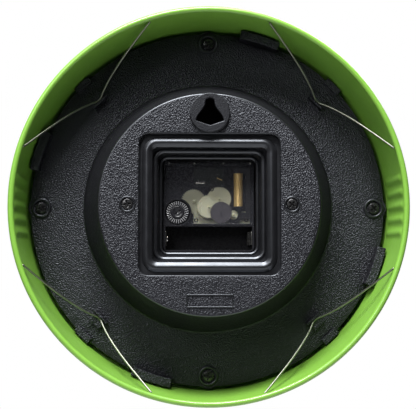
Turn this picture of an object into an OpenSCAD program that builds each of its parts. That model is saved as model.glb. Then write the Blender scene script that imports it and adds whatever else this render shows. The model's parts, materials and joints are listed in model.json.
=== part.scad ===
// Round battery wall clock in a lipped metal ring, with a moulded back cover that four
// bent spring wires press against the front.
//
// The dial faces -Y and the wall is the plane y = 0. The origin is the point where the
// nail bears in the hanger. Parts are drawn about the clock's own axis: there z is the
// depth from the wall towards the dial, y is up, and x runs to the right of the dial.

/* [Case ring] */
// Diameter over the rolled rear lip
case_d = 241.3; // [225:0.1:292]
// Thickness of the case wall
case_wall = 1.8; // [1.4:0.1:2.2]
// Diameter of the rolled lip
lip_d = 3.6; // [3:0.1:4.4]
// Angle at which the wall closes in towards the front
case_draft = 6; // [4:0.5:7]
// Radius of the rounded front edge
bezel_r = 14.5; // [13:0.5:17]
// How far the front opening lies inside the centre of the rounded edge
bezel_lip = 1.55; // [1.4:0.05:2.5]
// Number of ribs in each grip on the inside of the wall
rib_count = 5; // [3:1:7]
// Distance from rib to rib
rib_pitch = 8.5; // [7:0.5:10]
// Width of a rib at the wall
rib_w = 6; // [4:0.5:6.5]
// Height of a rib above the wall
rib_h = 0.7; // [0.4:0.1:1]

/* [Front glass and dial] */
// Thickness of the glass
lens_t = 2; // [1.5:0.1:2.5]
// Height of the glass's dome
lens_rise = 5.5; // [4:0.5:8]
// Thickness of the rubber ring in front of the glass
gasket_t = 1.2; // [0.8:0.1:2]
// Thickness of the case behind its front opening
seat_t = 2.6; // [2:0.1:3.2]
// Clear depth between dial and glass
dial_gap = 11; // [10:0.5:14]
// Thickness of the dial plate
dial_t = 1.2; // [0.8:0.1:2]
// Thickness of the spacer ring's wall and foot
spacer_wall = 2; // [1.5:0.1:3]
// Thickness of the printed film on the dial
print_t = 0.15; // [0.1:0.05:0.3]
// Width of the minute track's ring
track_w = 1; // [0.6:0.1:2]
// Length of a minute mark
tick_l = 5; // [3:0.5:8]
// Length of an hour mark
baton_l = 14; // [8:1:20]
// Width of an hour mark
baton_w = 3.4; // [2:0.2:5]

/* [Back cover] */
// Depth of the cover's flange behind the rear lip
cover_depth = 35; // [33.5:0.5:42]
// Thickness of the flange
flange_t = 2.5; // [2:0.1:3.5]
// Thickness of the cup's skin
skin_t = 2.2; // [1.6:0.1:2.6]
// Depth of the cup's flat rear face
plateau_z = 2; // [1.8:0.1:3]
// Radius of the cup's flat rear face
plateau_r = 67.6; // [67.4:0.1:70]
// Radius of the cup where it meets the flange
cone_r = 77.4; // [76:0.1:84]
// Radius of the round between the rear face and the cup's side
plateau_round = 1.4; // [1:0.1:2]
// Gap between the flange's edge and the case wall
flange_gap = 2.5; // [2.3:0.1:3.5]
// Distance of the flange screws from the flange's edge
flange_screw_in = 6.7; // [6:0.1:8]
// Distance of each cup screw from the clock's axis
cup_screw_x = 49.5; // [49:0.5:54]
// Height of the blocks that centre the cover in the case
block_h = 9; // [6:0.5:12]
// Radial width of the centring blocks
block_w = 5.6; // [4:0.2:7]
// Angle that each centring block covers
block_arc = 13; // [8:1:16]
// Gap between a centring block and the case wall
block_gap = 0.45; // [0.35:0.05:0.8]
// Width of the blank label frame
label_w = 28; // [20:1:34]
// Height of the blank label frame
label_h = 8; // [6:0.5:10]
// Distance of the label frame below the clock's axis
label_y = 57.8; // [54:0.2:60]

/* [Movement well] */
// Half the width of the well's mouth
mouth_half = 42.5; // [42:0.1:42.6]
// Half the width of the outer moulded ridge, over its middle
ridge_half = 38; // [37:0.1:38.6]
// Radius of the outer ridge
ridge_r = 2.5; // [1.8:0.1:2.8]
// Half the width of the inner moulded ridge, over its middle
inner_ridge_half = 33.4; // [33:0.1:33.8]
// Radius of the inner ridge
inner_ridge_r = 1.8; // [1.4:0.1:2]
// Drop from each ledge of the well to the next
well_step = 4.2; // [3.6:0.1:4.6]
// Thickness of the well's walls
well_wall = 1.6; // [1.2:0.1:1.8]

/* [Wall hanger] */
// Distance of the hanger's middle above the clock's axis
hanger_y = 55.2; // [55.2:0.05:55.4]
// Radius of the hanger's disc
hanger_r = 12.1; // [11.8:0.1:12.3]
// Radius of the hanger's spigot in the cover
spigot_r = 10.8; // [10.6:0.1:10.9]
// Radius at the top of the bell-shaped hole
neck_r = 2.75; // [2:0.05:3.2]
// Half the width of the bell-shaped hole at its foot
bell_half = 8.3; // [6:0.1:8.4]
// Height of the hole's top above the hanger's middle
bell_top = 9.1; // [8.5:0.1:9.4]
// Depth of the hole's foot below the hanger's middle
bell_foot = 4.9; // [4:0.1:5]
// Depth of the hole's lowest point below the hanger's middle
bell_tip = 7.7; // [6.5:0.1:8]

/* [Spring wires] */
// Diameter of the spring wire
wire_d = 1.2; // [0.8:0.1:1.6]
// Distance of a wire's bend inside the flange's edge
wire_bend_in = 14.7; // [13:0.1:16]
// Length of the straight piece between a wire's two bends
wire_flat = 3.8; // [2:0.2:6]
// Angle from a wire's bend to each of its ends
wire_reach = 27.3; // [24:0.1:29]
// How far a wire's legs bow outwards
wire_bow = 2.2; // [0:0.1:3]
// Height of the saddle that carries a wire's bend
saddle_h = 2.4; // [1.6:0.1:3.5]

/* [Movement] */
// Width and height of the movement
move_w = 56; // [55:0.1:56.4]
// Depth of the movement
move_t = 15; // [15:0.1:16]
// Thickness of the movement's walls
move_wall = 1.2; // [1:0.05:1.3]
// Height of the movement's battery bay
bay_h = 14.6; // [14.5:0.1:14.8]
// Thickness of the plate that carries the movement
bracket_t = 2; // [1.5:0.1:3]
// Radius of the movement's threaded bush
bush_r = 3.95; // [3.6:0.05:4.4]
// Length of the threaded bush
bush_l = 7; // [7:0.1:9]
// Across the flats of the fixing nut
nut_af = 13; // [11:0.5:15]
// Height of the fixing nut
nut_t = 2.6; // [2:0.1:2.8]
// Thickness of the washer under the nut
washer_t = 0.5; // [0.3:0.1:0.6]
// Radial clearance of every turning fit
run_gap = 0.05; // [0.02:0.01:0.09]

/* [Gear train] */
// Thickness of a wheel
wheel_t = 0.8; // [0.6:0.1:0.9]
// Distance from one layer of wheels to the next
layer_step = 1.4; // [1.4:0.05:1.5]
// Radius of a wheel's arbor
arbor_r = 0.4; // [0.3:0.05:0.5]
// Module of the rotor's pinion and the fifth wheel
fast_module = 0.28; // [0.27:0.005:0.29]
// Module of the motion work
motion_module = 0.42; // [0.4:0.005:0.43]
// Clearance by which each tooth flank is thinned
tooth_gap = 0.03; // [0.02:0.005:0.05]
// Direction of the third wheel from the centre
third_dir = 142; // [138:1:144]
// Direction of the fifth wheel from the centre
fifth_dir = 205; // [203:1:208]
// Direction of the rotor from the fifth wheel
rotor_dir = 190; // [186:1:194]
// Sideways place of the setting knob
knob_x = 19.4; // [19:0.1:19.6]
// Height of the setting knob's place
knob_y = -3.7; // [-3.9:0.1:-3.4]
// Radius of the setting knob
knob_r = 7.4; // [6.6:0.1:7.5]
// Number of ridges on the setting knob
knob_ridges = 28; // [18:1:36]

/* [Hands] */
// Length of the hour hand
hour_l = 56; // [40:1:70]
// Length of the minute hand
minute_l = 80; // [60:1:86]
// Length of the second hand
second_l = 84; // [60:1:88]
// Thickness of a hand
hand_t = 0.5; // [0.3:0.1:0.6]
// Hour shown at rest
rest_hour = 10; // [0:1:11]
// Minute shown at rest
rest_minute = 9; // [0:1:59]
// Second shown at rest
rest_second = 36; // [0:1:59]

/* [Hidden] */
$fn = 96;

// Colours
green = [0.48, 0.76, 0.25];
black = [0.12, 0.12, 0.13];
grain_black = [0.17, 0.17, 0.18];
smoke = [0.22, 0.22, 0.24, 0.55];
cream = [0.84, 0.83, 0.68];
steel = [0.72, 0.72, 0.72];
brass = [0.80, 0.64, 0.30];
copper = [0.78, 0.45, 0.20];
board_green = [0.10, 0.30, 0.16];
paper = [0.93, 0.91, 0.83];
clear = [0.85, 0.92, 0.95, 0.3];

// Case ring, in radius and depth
case_r = case_d / 2;
lip_r = lip_d / 2;
wall_start_r = case_r - lip_r + case_wall / 2;
flange_z = cover_depth;
dial_z = flange_z + flange_t;
face_z = dial_z + dial_t;
lens_z = face_z + dial_gap;
seat_z = lens_z + lens_t + gasket_t;
front_z = seat_z + seat_t;
bezel_z = front_z - bezel_r;
bezel_c = wall_start_r - (bezel_r + sin(case_draft) * (bezel_z - lip_r)) / cos(case_draft);
bezel_in_r = bezel_r - case_wall;
opening_r = bezel_c - bezel_lip;
seat_r = bezel_c + sqrt(pow(bezel_in_r, 2) - pow(seat_z - bezel_z, 2));
rib_sink = 0.5;
rib_end_gap = 4;

function wall_in(z) = wall_start_r - (z - lip_r) * tan(case_draft) - case_wall / cos(case_draft);

// Glass, gasket, spacer and dial
lens_side_gap = 0.7;
lens_r = seat_r - lens_side_gap;
dome_r = opening_r - 0.5;
gasket_side_gap = 0.2;
gasket_in_r = opening_r + 0.6;
spacer_in_r = opening_r + 0.5;
flange_r = wall_in(dial_z) - flange_gap;
dial_r = flange_r - 1.7;
spacer_out_r = dial_r - 0.5;
spacer_boss_r = 4;
spacer_boss_h = 7.3;
flange_screw_r = flange_r - flange_screw_in;
track_r = opening_r - 5.5;

// Screws
shank_r = 1.45;
screw_hole_r = 1.6;
head_r = 3.5;
head_h = 2.2;
cup_head_r = 3.3;
cup_head_h = 2;
flange_screw_l = 10;
cup_screw_l = 12;
recess_w = 0.9;
recess_l = 4;
recess_h = 1.2;
dome_sink = 0.6;
dome_spread = 1.18;

// Back cover
ring_h = 1.2;
ring_r = 6.2;
ring_gap = 0.9;
ear_r = 7;
ear_out = 1.3;
cone_round = 2;
cup_ring_h = 0.6;
cup_ring_r = 4.9;
cup_sink = 1.2;
cup_pad_t = 1.4;
block_dirs = [18.5, 107, 199.5, 288.5];
wire_dirs = [44.5, 135.5, 226.5, 314.5];
edge_lug_arc = 6;
edge_lug_h = 1.5;
edge_lug_out = 1.8;
edge_lug_w = 4.5;
saddle_w = 9;
saddle_l = 5.8;
stop_w = 11.6;
stop_l = 1.6;
stop_h = 4.6;
frame_line = 0.8;
frame_h = 0.4;

// Well, from its mouth to the movement
mouth_corner = 6;
ledge_1_z = plateau_z + 3.6;
ledge_2_z = ledge_1_z + well_step;
ledge_3_z = ledge_2_z + well_step + 1.2;
ledge_2_half = ridge_half - ridge_r;
ledge_3_half = inner_ridge_half - inner_ridge_r;
well_gap = 0.75;
skirt_half = move_w / 2 + well_gap;
skirt_corner = 3.8;
skirt_edge_r = 0.9;

// Hanger
hook_h = hanger_y + bell_top;
spigot_gap = 0.05;

// Spring wires
wire_r = wire_d / 2;
touch_gap = 0.02;
wire_z = flange_z - saddle_h - wire_r;
wire_bend_r = flange_r - wire_bend_in;
wire_end_r = wall_in(lip_d) - wire_r / cos(case_draft) - touch_gap;
lip_reach = lip_r + wire_r + touch_gap;
wire_end_z = lip_r + sqrt(pow(lip_reach, 2) - pow(case_r - lip_r - wire_end_r, 2));
leg_parts = 12;
wire_sides = 10;

// Movement
move_half = move_w / 2;
move_front = dial_z - bracket_t;
move_rear = move_front - move_t;
cover_t = 1.2;
cover_in = move_rear + cover_t;
front_in = move_front - move_wall;
bay_low = -move_half + 1;
bay_top = bay_low + bay_h;
room_low = bay_top + 1;
room_half = move_half - move_wall;
move_corner = 3;
bracket_r = cone_r - 5.4;
post_r = 4;
post_pilot_l = 14;
bush_top = move_front + bush_l;
fit_hole_gap = 0.1;

// Arbors that turn about the clock's axis, one inside the next
second_arbor_r = 0.5;
minute_arbor_r = 1.5;
hour_tube_r = 2.5;
hand_step = 2;
hour_hub_z = bush_top + 0.5;
hour_hub_t = 1.4;
minute_hub_z = hour_hub_z + hand_step;
second_hub_z = minute_hub_z + hand_step;
hub_t = 1.2;
blade_drop = 0.3;

// Layers of the gear train, as the depth of each wheel's rear face
layer_1 = cover_in + 1.2;
layer_2 = layer_1 + layer_step;
layer_3 = layer_2 + layer_step;
layer_4 = layer_3 + layer_step;
plate_z = layer_4 + layer_step;
plate_t = 0.8;
layer_5 = plate_z + layer_step;
layer_6 = layer_5 + layer_step + 0.2;
pinion_over = 0.2;
pivot_l = 0.6;
plate_pivot_l = 0.4;

// Tooth counts
rotor_teeth = 8;
fifth_teeth = 48;
fifth_pinion_teeth = 10;
second_teeth = 50;
second_pinion_teeth = 8;
third_teeth = 64;
third_pinion_teeth = 8;
centre_teeth = 60;
cannon_teeth = 12;
minute_teeth = 36;
minute_pinion_teeth = 10;
hour_teeth = 40;
knob_teeth = 24;

// Centre distances and the modules that follow from them
fifth_a = fast_module * (fifth_pinion_teeth + second_teeth) / 2;
rotor_a = fast_module * (rotor_teeth + fifth_teeth) / 2;
third_a = fifth_a;
third_module = 2 * third_a / (second_pinion_teeth + third_teeth);
centre_module = 2 * third_a / (third_pinion_teeth + centre_teeth);
minute_a = motion_module * (cannon_teeth + minute_teeth) / 2;
hour_module = 2 * minute_a / (minute_pinion_teeth + hour_teeth);
knob_a = motion_module * (knob_teeth + minute_teeth) / 2;
knob_reach = norm([knob_x, knob_y]);
knob_dir = atan2(knob_y, knob_x);
minute_swing = acos((pow(knob_reach, 2) + pow(minute_a, 2) - pow(knob_a, 2)) / (2 * knob_reach * minute_a));
minute_dir = knob_dir + minute_swing;

function polar(r, a) = [r * cos(a), r * sin(a)];

fifth_at = polar(fifth_a, fifth_dir);
rotor_at = fifth_at + polar(rotor_a, rotor_dir);
third_at = polar(third_a, third_dir);
minute_at = polar(minute_a, minute_dir);
knob_at = [knob_x, knob_y];
knob_from_minute = atan2(knob_y - minute_at.y, knob_x - minute_at.x);

// Turn of a wheel that meshes with a driver standing at a known turn
function mesh_turn(driver_teeth, driver_turn, teeth, dir) =
    dir + 180 - (180 - (dir - driver_turn) * driver_teeth) / teeth;

fifth_turn = mesh_turn(second_teeth, 0, fifth_pinion_teeth, fifth_dir);
rotor_turn = mesh_turn(fifth_teeth, 0, rotor_teeth, rotor_dir);
third_turn = mesh_turn(second_pinion_teeth, 0, third_teeth, third_dir);
centre_turn = mesh_turn(third_pinion_teeth, 0, centre_teeth, third_dir + 180);
minute_turn = mesh_turn(cannon_teeth, 0, minute_teeth, minute_dir);
hour_turn = mesh_turn(minute_pinion_teeth, 0, hour_teeth, minute_dir + 180);
knob_turn = mesh_turn(minute_teeth, minute_turn, knob_teeth, knob_from_minute);

// Tooth form
pressure_angle = 20;
wheel_tip = 0.45;
wheel_root = 1.2;
pinion_tip = 0.9;
pinion_root = 0.7;

// Magnet, stator, coil and board
magnet_r = 2.8;
magnet_t = 2.8;
magnet_z = plate_z - 0.5 - magnet_t;
stator_t = 0.8;
stator_z = plate_z - 2.2;
stator_hole_r = magnet_r + 0.6;
stator_ring_r = 5.4;
core_w = 2.4;
core_t = 1.4;
core_z = stator_z - core_t;
coil_x = -18.5;
coil_z = core_z + core_t / 2;
coil_low = -0.4;
coil_high = 21.6;
coil_flange_r = 3.7;
coil_flange_t = 0.6;
coil_tube_r = 1.9;
coil_r = 2.9;
board_z = layer_2 + 0.2;
board_t = 1;
board_low = [-9, 12.5];
board_size = [18, 11.5];
pillar_r = 1;

// Pillars, plate and posts inside the movement
plate_pillars = [[7.8, -8.5], [-23.1, -8.3]];
board_pillars = [[7.5, 21.5], [-7.5, 21.5], [7.5, 14.2]];
stator_pillar = [-24.6, 22.8];
plate_low = [-26, -10.4];
plate_size = [35.4, 7.9];
arm_low = [-9.5, -4];
arm_size = [6, 11];
third_eye_r = 3.2;
centre_eye_r = 4.4;
plate_hole_gap = 0.4;
plate_post = [-24.4, -5.4];
stator_post_r = 4.4;
stator_post_dir = -40;
boss_r = 1.1;
boss_h = 0.5;
washer_over = 1;

// Stator's legs, coil's core, chip and crystal
stator_low = [-26.2, -7.4];
stator_h = 31.8;
stator_leg_w = 3;
stator_foot_l = 8;
stator_foot_w = 4;
stator_arm_l = 10.2;
stator_arm_w = 2.5;
coil_gap = 0.5;
coil_side_room = 4;
core_low = -2.4;
core_l = 26.6;
chip_at = [-3, 17.5];
chip_r = 2.2;
chip_h = 0.8;
crystal_at = [2.2, 15.2];
crystal_r = 1;
crystal_l = 6;

// Stems of the wheels
stem_r = 1;
thin_stem_r = 0.7;
centre_hub_r = 2.6;
centre_hub_over = 0.2;
minute_stem_r = 1.4;
minute_stem_over = 0.6;

// Hands
hub_w = 1.5;
second_hub_w = 1.2;
eye_w = 3;
hour_root_w = 6;
hour_tip_w = 8;
hour_tail = 12;
minute_root_w = 5;
minute_tip_w = 6;
minute_tail = 14;
second_root_w = 1.6;
second_tip_w = 0.9;
second_tail = 24;
weight_at = 20;
weight_r = 4;

// Setting knob
knob_gap = 0.3;
ridge_in = 0.4;
ridge_out = 0.5;
ridge_w = 0.7;
ridge_h = 0.4;
pocket_r = knob_r + knob_gap;
pocket_floor_z = move_rear + 3.5;
pocket_floor_t = 1;
knob_t = 2.4;
knob_hub_r = 4.2;
knob_hub_h = 0.5;
knob_shaft_r = 1.5;
knob_pivot_r = 0.8;

// Battery contacts
contact_t = 0.4;
contact_gap = 0.1;
contact_w = 9;
contact_l = 11.5;
contact_inset = 0.9;
button_r = 2.4;
button_h = 1;
button_z = 7;
leaf_w = 8;
leaf_folds = 5;
leaf_pitch = 2.2;
leaf_root = 0.5;
leaf_out = 2.4;
contact_mid = (bay_low + bay_top) / 2;

// Turning about the clock's axis, as seen on the dial
minute_angle = 6 * (rest_minute + rest_second / 60);
hour_angle = 30 * rest_hour + minute_angle / 12;
second_angle = 6 * rest_second;

// ---- Shared shapes ----

// Moves a piece drawn about the clock's axis to where the clock hangs on its nail
module hung() {
    translate([0, 0, -hook_h]) rotate([90, 0, 0]) children();
}

function arc(centre, r, from, to, steps) =
    [for (i = [0:steps]) centre + polar(r, from + (to - from) * i / steps)];

module tube(r_out, r_in, z, h) {
    translate([0, 0, z]) difference() {
        cylinder(r = r_out, h = h);
        translate([0, 0, -1]) cylinder(r = r_in, h = h + 2);
    }
}

module disc(at, r, z, h) {
    translate([at.x, at.y, z]) cylinder(r = r, h = h);
}

// Square with rounded corners about the axis
module round_square(half, corner) {
    square([2 * half, 2 * (half - corner)], center = true);
    square([2 * (half - corner), 2 * half], center = true);
    for (x = [-1, 1], y = [-1, 1])
        translate([x, y] * (half - corner)) circle(r = corner, $fn = 48);
}

module square_frame(half_out, half_in, corner_in, z, h) {
    translate([0, 0, z]) linear_extrude(height = h) difference() {
        round_square(half_out, corner_in + half_out - half_in);
        round_square(half_in, corner_in);
    }
}

// Round bar bent into a square with rounded corners
module square_ridge(half, corner, r, z) {
    straight = half - corner;
    translate([0, 0, z]) for (turn = [0:90:270]) rotate([0, 0, turn]) {
        translate([half, 0, 0]) rotate([90, 0, 0])
            cylinder(r = r, h = 2 * straight, center = true, $fn = 48);
        translate([straight, straight, 0]) rotate_extrude(angle = 90, $fn = 64)
            translate([corner, 0]) circle(r = r, $fn = 48);
    }
}

module arc_block(r_in, r_out, dir, width, z, h) {
    rotate([0, 0, dir - width / 2]) translate([0, 0, z]) rotate_extrude(angle = width)
        translate([r_in, 0]) square([r_out - r_in, h]);
}

// Involute tooth form. Below the base circle the flanks are radial.
function inv(a) = tan(a) * 180 / PI - a;

function half_tooth(r, pitch_r, teeth) =
    let (base_r = pitch_r * cos(pressure_angle))
    90 / teeth - tooth_gap / pitch_r * 180 / PI
    + inv(pressure_angle) - inv(acos(min(1, base_r / r)));

function tooth_radii(teeth, mod, tip, root) =
    let (pitch_r = mod * teeth / 2)
    let (root_r = pitch_r - root * mod)
    let (tip_r = pitch_r + tip * mod)
    let (flank_r = max(root_r, pitch_r * cos(pressure_angle)))
    concat(flank_r > root_r ? [root_r] : [], [for (i = [0:4]) flank_r + (tip_r - flank_r) * i / 4]);

function tooth_points(teeth, mod, radii) = [
    for (i = [0:teeth - 1], side = [-1, 1], j = [0:len(radii) - 1])
        let (r = radii[side < 0 ? j : len(radii) - 1 - j])
        polar(r, i * 360 / teeth + side * half_tooth(r, mod * teeth / 2, teeth))
];

module toothed(teeth, mod, tip, root, turn, z, h) {
    translate([0, 0, z]) rotate([0, 0, turn]) linear_extrude(height = h)
        polygon(tooth_points(teeth, mod, tooth_radii(teeth, mod, tip, root)));
}

module wheel_teeth(teeth, mod, turn, z) {
    toothed(teeth, mod, wheel_tip, wheel_root, turn, z, wheel_t);
}

// A pinion is a little thicker than its wheel, so that the two stay in mesh
module pinion_teeth(teeth, mod, turn, wheel_z) {
    toothed(teeth, mod, pinion_tip, pinion_root, turn, wheel_z - pinion_over, wheel_t + 2 * pinion_over);
}

module arbor(r, from, to) {
    translate([0, 0, from]) cylinder(r = r, h = to - from, $fn = 32);
}

// Arbor of a wheel that runs between the movement's cover and the gear plate
module train_arbor() {
    arbor(arbor_r, cover_in - pivot_l, plate_z + plate_pivot_l);
}

module screw(r, h, length, z) {
    translate([0, 0, z]) {
        difference() {
            translate([0, 0, -h]) rotate_extrude() intersection() {
                translate([0, h + dome_sink]) circle(r = r * dome_spread);
                square([r, h]);
            }
            for (turn = [0, 90]) rotate([0, 0, turn])
                translate([0, 0, -h + recess_h / 2 - 0.5]) cube([recess_l, recess_w, recess_h + 1], center = true);
        }
        cylinder(r = shank_r, h = length - shank_r, $fn = 32);
        translate([0, 0, length - shank_r]) cylinder(r1 = shank_r, r2 = 0.3, h = shank_r, $fn = 32);
    }
}

// ---- Case ring ----

// Section of the ring from its rear lip to the front opening
module ring_section() {
    edge_r = seat_t / 2;
    wall_low = [wall_start_r, lip_r];
    inward = -case_wall * polar(1, case_draft);
    outer = arc([bezel_c, bezel_z], bezel_r, case_draft, 90, 16);
    inner = arc([bezel_c, bezel_z], bezel_in_r, acos((seat_r - bezel_c) / bezel_in_r), case_draft, 12);
    edge = arc([opening_r + edge_r, front_z - edge_r], edge_r, 90, 270, 10);
    polygon(concat([wall_low], outer, edge, inner, [wall_low + inward]));
    translate([case_r - lip_r, lip_r]) circle(r = lip_r, $fn = 48);
}

// Shallow rib lying along the inside of the wall
module grip_rib() {
    bow_r = (pow(rib_w / 2, 2) + pow(rib_h, 2)) / (2 * rib_h);
    swing = asin(rib_w / 2 / bow_r);
    crown = arc([bow_r - rib_h, 0], bow_r, 180 - swing, 180 + swing, 6);
    length = flange_z - lip_d - rib_end_gap;
    translate([wall_in(lip_d), 0, lip_d]) rotate([0, -case_draft, 0]) linear_extrude(height = length)
        polygon(concat(crown, [[rib_sink, -rib_w / 2], [rib_sink, rib_w / 2]]));
}

module case_ring() {
    rib_angle = rib_pitch / wall_in(lip_d) * 180 / PI;
    color(green) hung() {
        rotate_extrude($fn = 180) ring_section();
        for (side = [0, 180], i = [0:rib_count - 1])
            rotate([0, 0, side + (i - (rib_count - 1) / 2) * rib_angle]) grip_rib();
    }
}

// ---- Glass and dial ----

// Depth of the glass's domed surface above its flat edge
function dome(r) = lens_rise * (1 - pow(r / dome_r, 2));

module lens() {
    steps = 10;
    bow = [for (i = [0:steps]) dome_r * i / steps];
    inner = [for (r = bow) [r, lens_z + dome(r)]];
    outer = [for (i = [0:steps]) [bow[steps - i], lens_z + lens_t + dome(bow[steps - i])]];
    edge = [[lens_r, lens_z], [lens_r, lens_z + lens_t]];
    color(clear) hung() rotate_extrude($fn = 180) polygon(concat(inner, edge, outer));
}

module lens_gasket() {
    color(black) hung() tube(lens_r - gasket_side_gap, gasket_in_r, lens_z + lens_t, gasket_t);
}

module dial_spacer() {
    color(black) hung() {
        tube(spacer_in_r + spacer_wall, spacer_in_r, face_z, dial_gap);
        difference() {
            union() {
                tube(spacer_out_r, spacer_in_r, face_z, spacer_wall);
                for (a = [0:90:270]) rotate([0, 0, a])
                    disc([flange_screw_r, 0], spacer_boss_r, face_z, spacer_boss_h);
            }
            for (a = [0:90:270]) rotate([0, 0, a])
                disc([flange_screw_r, 0], shank_r, face_z - 1, spacer_boss_h + 2, $fn = 32);
        }
    }
}

module dial_plate() {
    color(paper) hung() difference() {
        disc([0, 0], dial_r, dial_z, dial_t, $fn = 180);
        disc([0, 0], bush_r + fit_hole_gap, dial_z - 1, dial_t + 2);
        for (a = [0:90:270]) rotate([0, 0, a])
            disc([flange_screw_r, 0], screw_hole_r, dial_z - 1, dial_t + 2, $fn = 32);
    }
}

module dial_print() {
    color(black) hung() translate([0, 0, face_z]) linear_extrude(height = print_t) {
        difference() {
            circle(r = track_r, $fn = 180);
            circle(r = track_r - track_w, $fn = 180);
        }
        for (i = [0:59]) rotate([0, 0, 6 * i]) {
            length = i % 5 == 0 ? baton_l : tick_l;
            width = i % 5 == 0 ? baton_w : track_w;
            translate([track_r - length, -width / 2]) square([length - track_w / 2, width]);
        }
    }
}

// ---- Back cover ----

// Skin of the cup and flange, from the axis outwards
module cup_section() {
    slope = atan((cone_r - plateau_r) / (flange_z - plateau_z));
    skin_in = skin_t / cos(slope);
    outer = arc([plateau_r - plateau_round, plateau_z + plateau_round], plateau_round, 270, 360 - slope, 6);
    foot = arc([cone_r + cone_round, flange_z - cone_round], cone_round, 180 - slope, 90, 6);
    polygon(concat(
        [[0, plateau_z]], outer, foot, [[flange_r, flange_z], [flange_r, dial_z]],
        [[cone_r - skin_in, dial_z], [cone_r - skin_in, flange_z], [plateau_r - skin_in, plateau_z + skin_t]],
        [[0, plateau_z + skin_t]]
    ));
}

// Ledges, ridges and skirt of the square well
module well_walls() {
    square_frame(mouth_half + well_wall, mouth_half, mouth_corner, plateau_z, ledge_1_z - plateau_z + well_wall);
    square_frame(mouth_half + well_wall, ledge_2_half, mouth_corner - 1, ledge_1_z, well_wall);
    square_ridge(ridge_half, mouth_corner, ridge_r, ledge_1_z);
    square_frame(ledge_2_half + well_wall, ledge_2_half, 4, ledge_1_z, ledge_2_z - ledge_1_z + well_wall);
    square_frame(ledge_2_half + well_wall, ledge_3_half, 4, ledge_2_z, well_wall);
    square_ridge(inner_ridge_half, mouth_corner, inner_ridge_r, ledge_2_z);
    square_frame(ledge_3_half + well_wall, ledge_3_half, 4, ledge_2_z, ledge_3_z - ledge_2_z + well_wall);
    square_frame(ledge_3_half + well_wall, skirt_half, skirt_corner, ledge_3_z, well_wall);
    square_ridge(skirt_half + skirt_edge_r, skirt_corner + skirt_edge_r, skirt_edge_r, ledge_3_z);
    square_frame(skirt_half + well_wall, skirt_half, skirt_corner, ledge_3_z, move_rear + 2 - ledge_3_z);
}

// Saddle that carries the bend of a wire, and the stop that keeps it from sliding inwards
module wire_saddle() {
    translate([wire_bend_r - wire_r, -saddle_w / 2, flange_z - saddle_h])
        cube([saddle_l, saddle_w, saddle_h + flange_t / 2]);
    translate([wire_bend_r - wire_r - touch_gap - stop_l, -stop_w / 2, flange_z - stop_h])
        cube([stop_l, stop_w, stop_h + flange_t / 2]);
}

module screw_ring(at) {
    disc(at, ring_r, flange_z - ring_h, ring_h);
}

module back_cover() {
    color(grain_black) hung() difference() {
        union() {
            difference() {
                union() {
                    rotate_extrude($fn = 180) cup_section();
                    for (side = [-1, 1]) {
                        disc([side * cup_screw_x, 0], cup_ring_r, plateau_z - cup_ring_h, cup_ring_h + skin_t);
                        disc([side * cup_screw_x, 0], cup_ring_r, plateau_z, skin_t + cup_pad_t);
                    }
                }
                translate([0, 0, plateau_z - 1]) linear_extrude(height = skin_t + 2)
                    round_square(mouth_half, mouth_corner);
            }
            well_walls();
            for (a = [0:90:270]) rotate([0, 0, a]) {
                disc([flange_screw_r + ear_out, 0], ear_r, flange_z, flange_t);
                screw_ring([flange_screw_r, 0]);
            }
            for (dir = block_dirs) {
                block_out = wall_in(flange_z) - block_gap;
                arc_block(block_out - block_w, block_out, dir, block_arc, flange_z - block_h, block_h + flange_t);
            }
            for (dir = wire_dirs) {
                rotate([0, 0, dir]) wire_saddle();
                arc_block(flange_r + edge_lug_out - edge_lug_w, flange_r + edge_lug_out, dir, edge_lug_arc,
                          flange_z - edge_lug_h, edge_lug_h + flange_t);
            }
            translate([0, -label_y, plateau_z - frame_h]) linear_extrude(height = frame_h + skin_t / 2)
                difference() {
                    square([label_w, label_h], center = true);
                    square([label_w - 2 * frame_line, label_h - 2 * frame_line], center = true);
                }
        }
        for (a = [0:90:270]) rotate([0, 0, a]) {
            disc([flange_screw_r, 0], screw_hole_r, flange_z - 5, flange_t + 10, $fn = 32);
            disc([flange_screw_r, 0], head_r + ring_gap, flange_z - 5, 5);
        }
        for (side = [-1, 1]) {
            disc([side * cup_screw_x, 0], screw_hole_r, plateau_z - 2, skin_t + 6, $fn = 32);
            disc([side * cup_screw_x, 0], cup_head_r + 0.3, plateau_z - 2, 2 + cup_sink);
        }
        disc([0, hanger_y], spigot_r + spigot_gap, plateau_z - 1, skin_t + 2);
    }
}

// Bell-shaped hole: a round neck that widens down to a shallow point
module bell_hole() {
    neck_y = bell_top - neck_r;
    steps = 12;
    side = [for (i = [0:steps])
        let (fall = i / steps)
        [neck_r + (bell_half - neck_r) * (1 - cos(180 * fall)) / 2, neck_y - (neck_y + bell_foot) * fall]];
    translate([0, neck_y]) circle(r = neck_r, $fn = 48);
    polygon(concat(side, [[0, -bell_tip]], [for (i = [0:steps]) [-side[steps - i].x, side[steps - i].y]]));
}

module wall_hanger() {
    color(black) hung() translate([0, hanger_y, 0]) difference() {
        union() {
            cylinder(r = hanger_r, h = plateau_z);
            cylinder(r = spigot_r, h = plateau_z + skin_t);
        }
        translate([0, 0, -1]) linear_extrude(height = plateau_z + skin_t + 2) bell_hole();
    }
}

module flange_screws() {
    color(black) hung() for (a = [0:90:270])
        rotate([0, 0, a]) translate([flange_screw_r, 0, 0]) screw(head_r, head_h, flange_screw_l, flange_z);
}

module cup_screws() {
    color(black) hung() for (side = [-1, 1])
        translate([side * cup_screw_x, 0, 0]) screw(cup_head_r, cup_head_h, cup_screw_l, plateau_z + cup_sink);
}

// ---- Spring wires ----

// Point along one leg of a wire, from its bend (0) to its end under the lip (1)
function leg_point(t) =
    let (start = [wire_bend_r, wire_flat / 2, wire_z])
    let (end = [wire_end_r * cos(wire_reach), wire_end_r * sin(wire_reach), wire_end_z])
    start + (end - start) * t + [wire_bow * sin(180 * pow(t, 0.7)), 0, 0];

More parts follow.
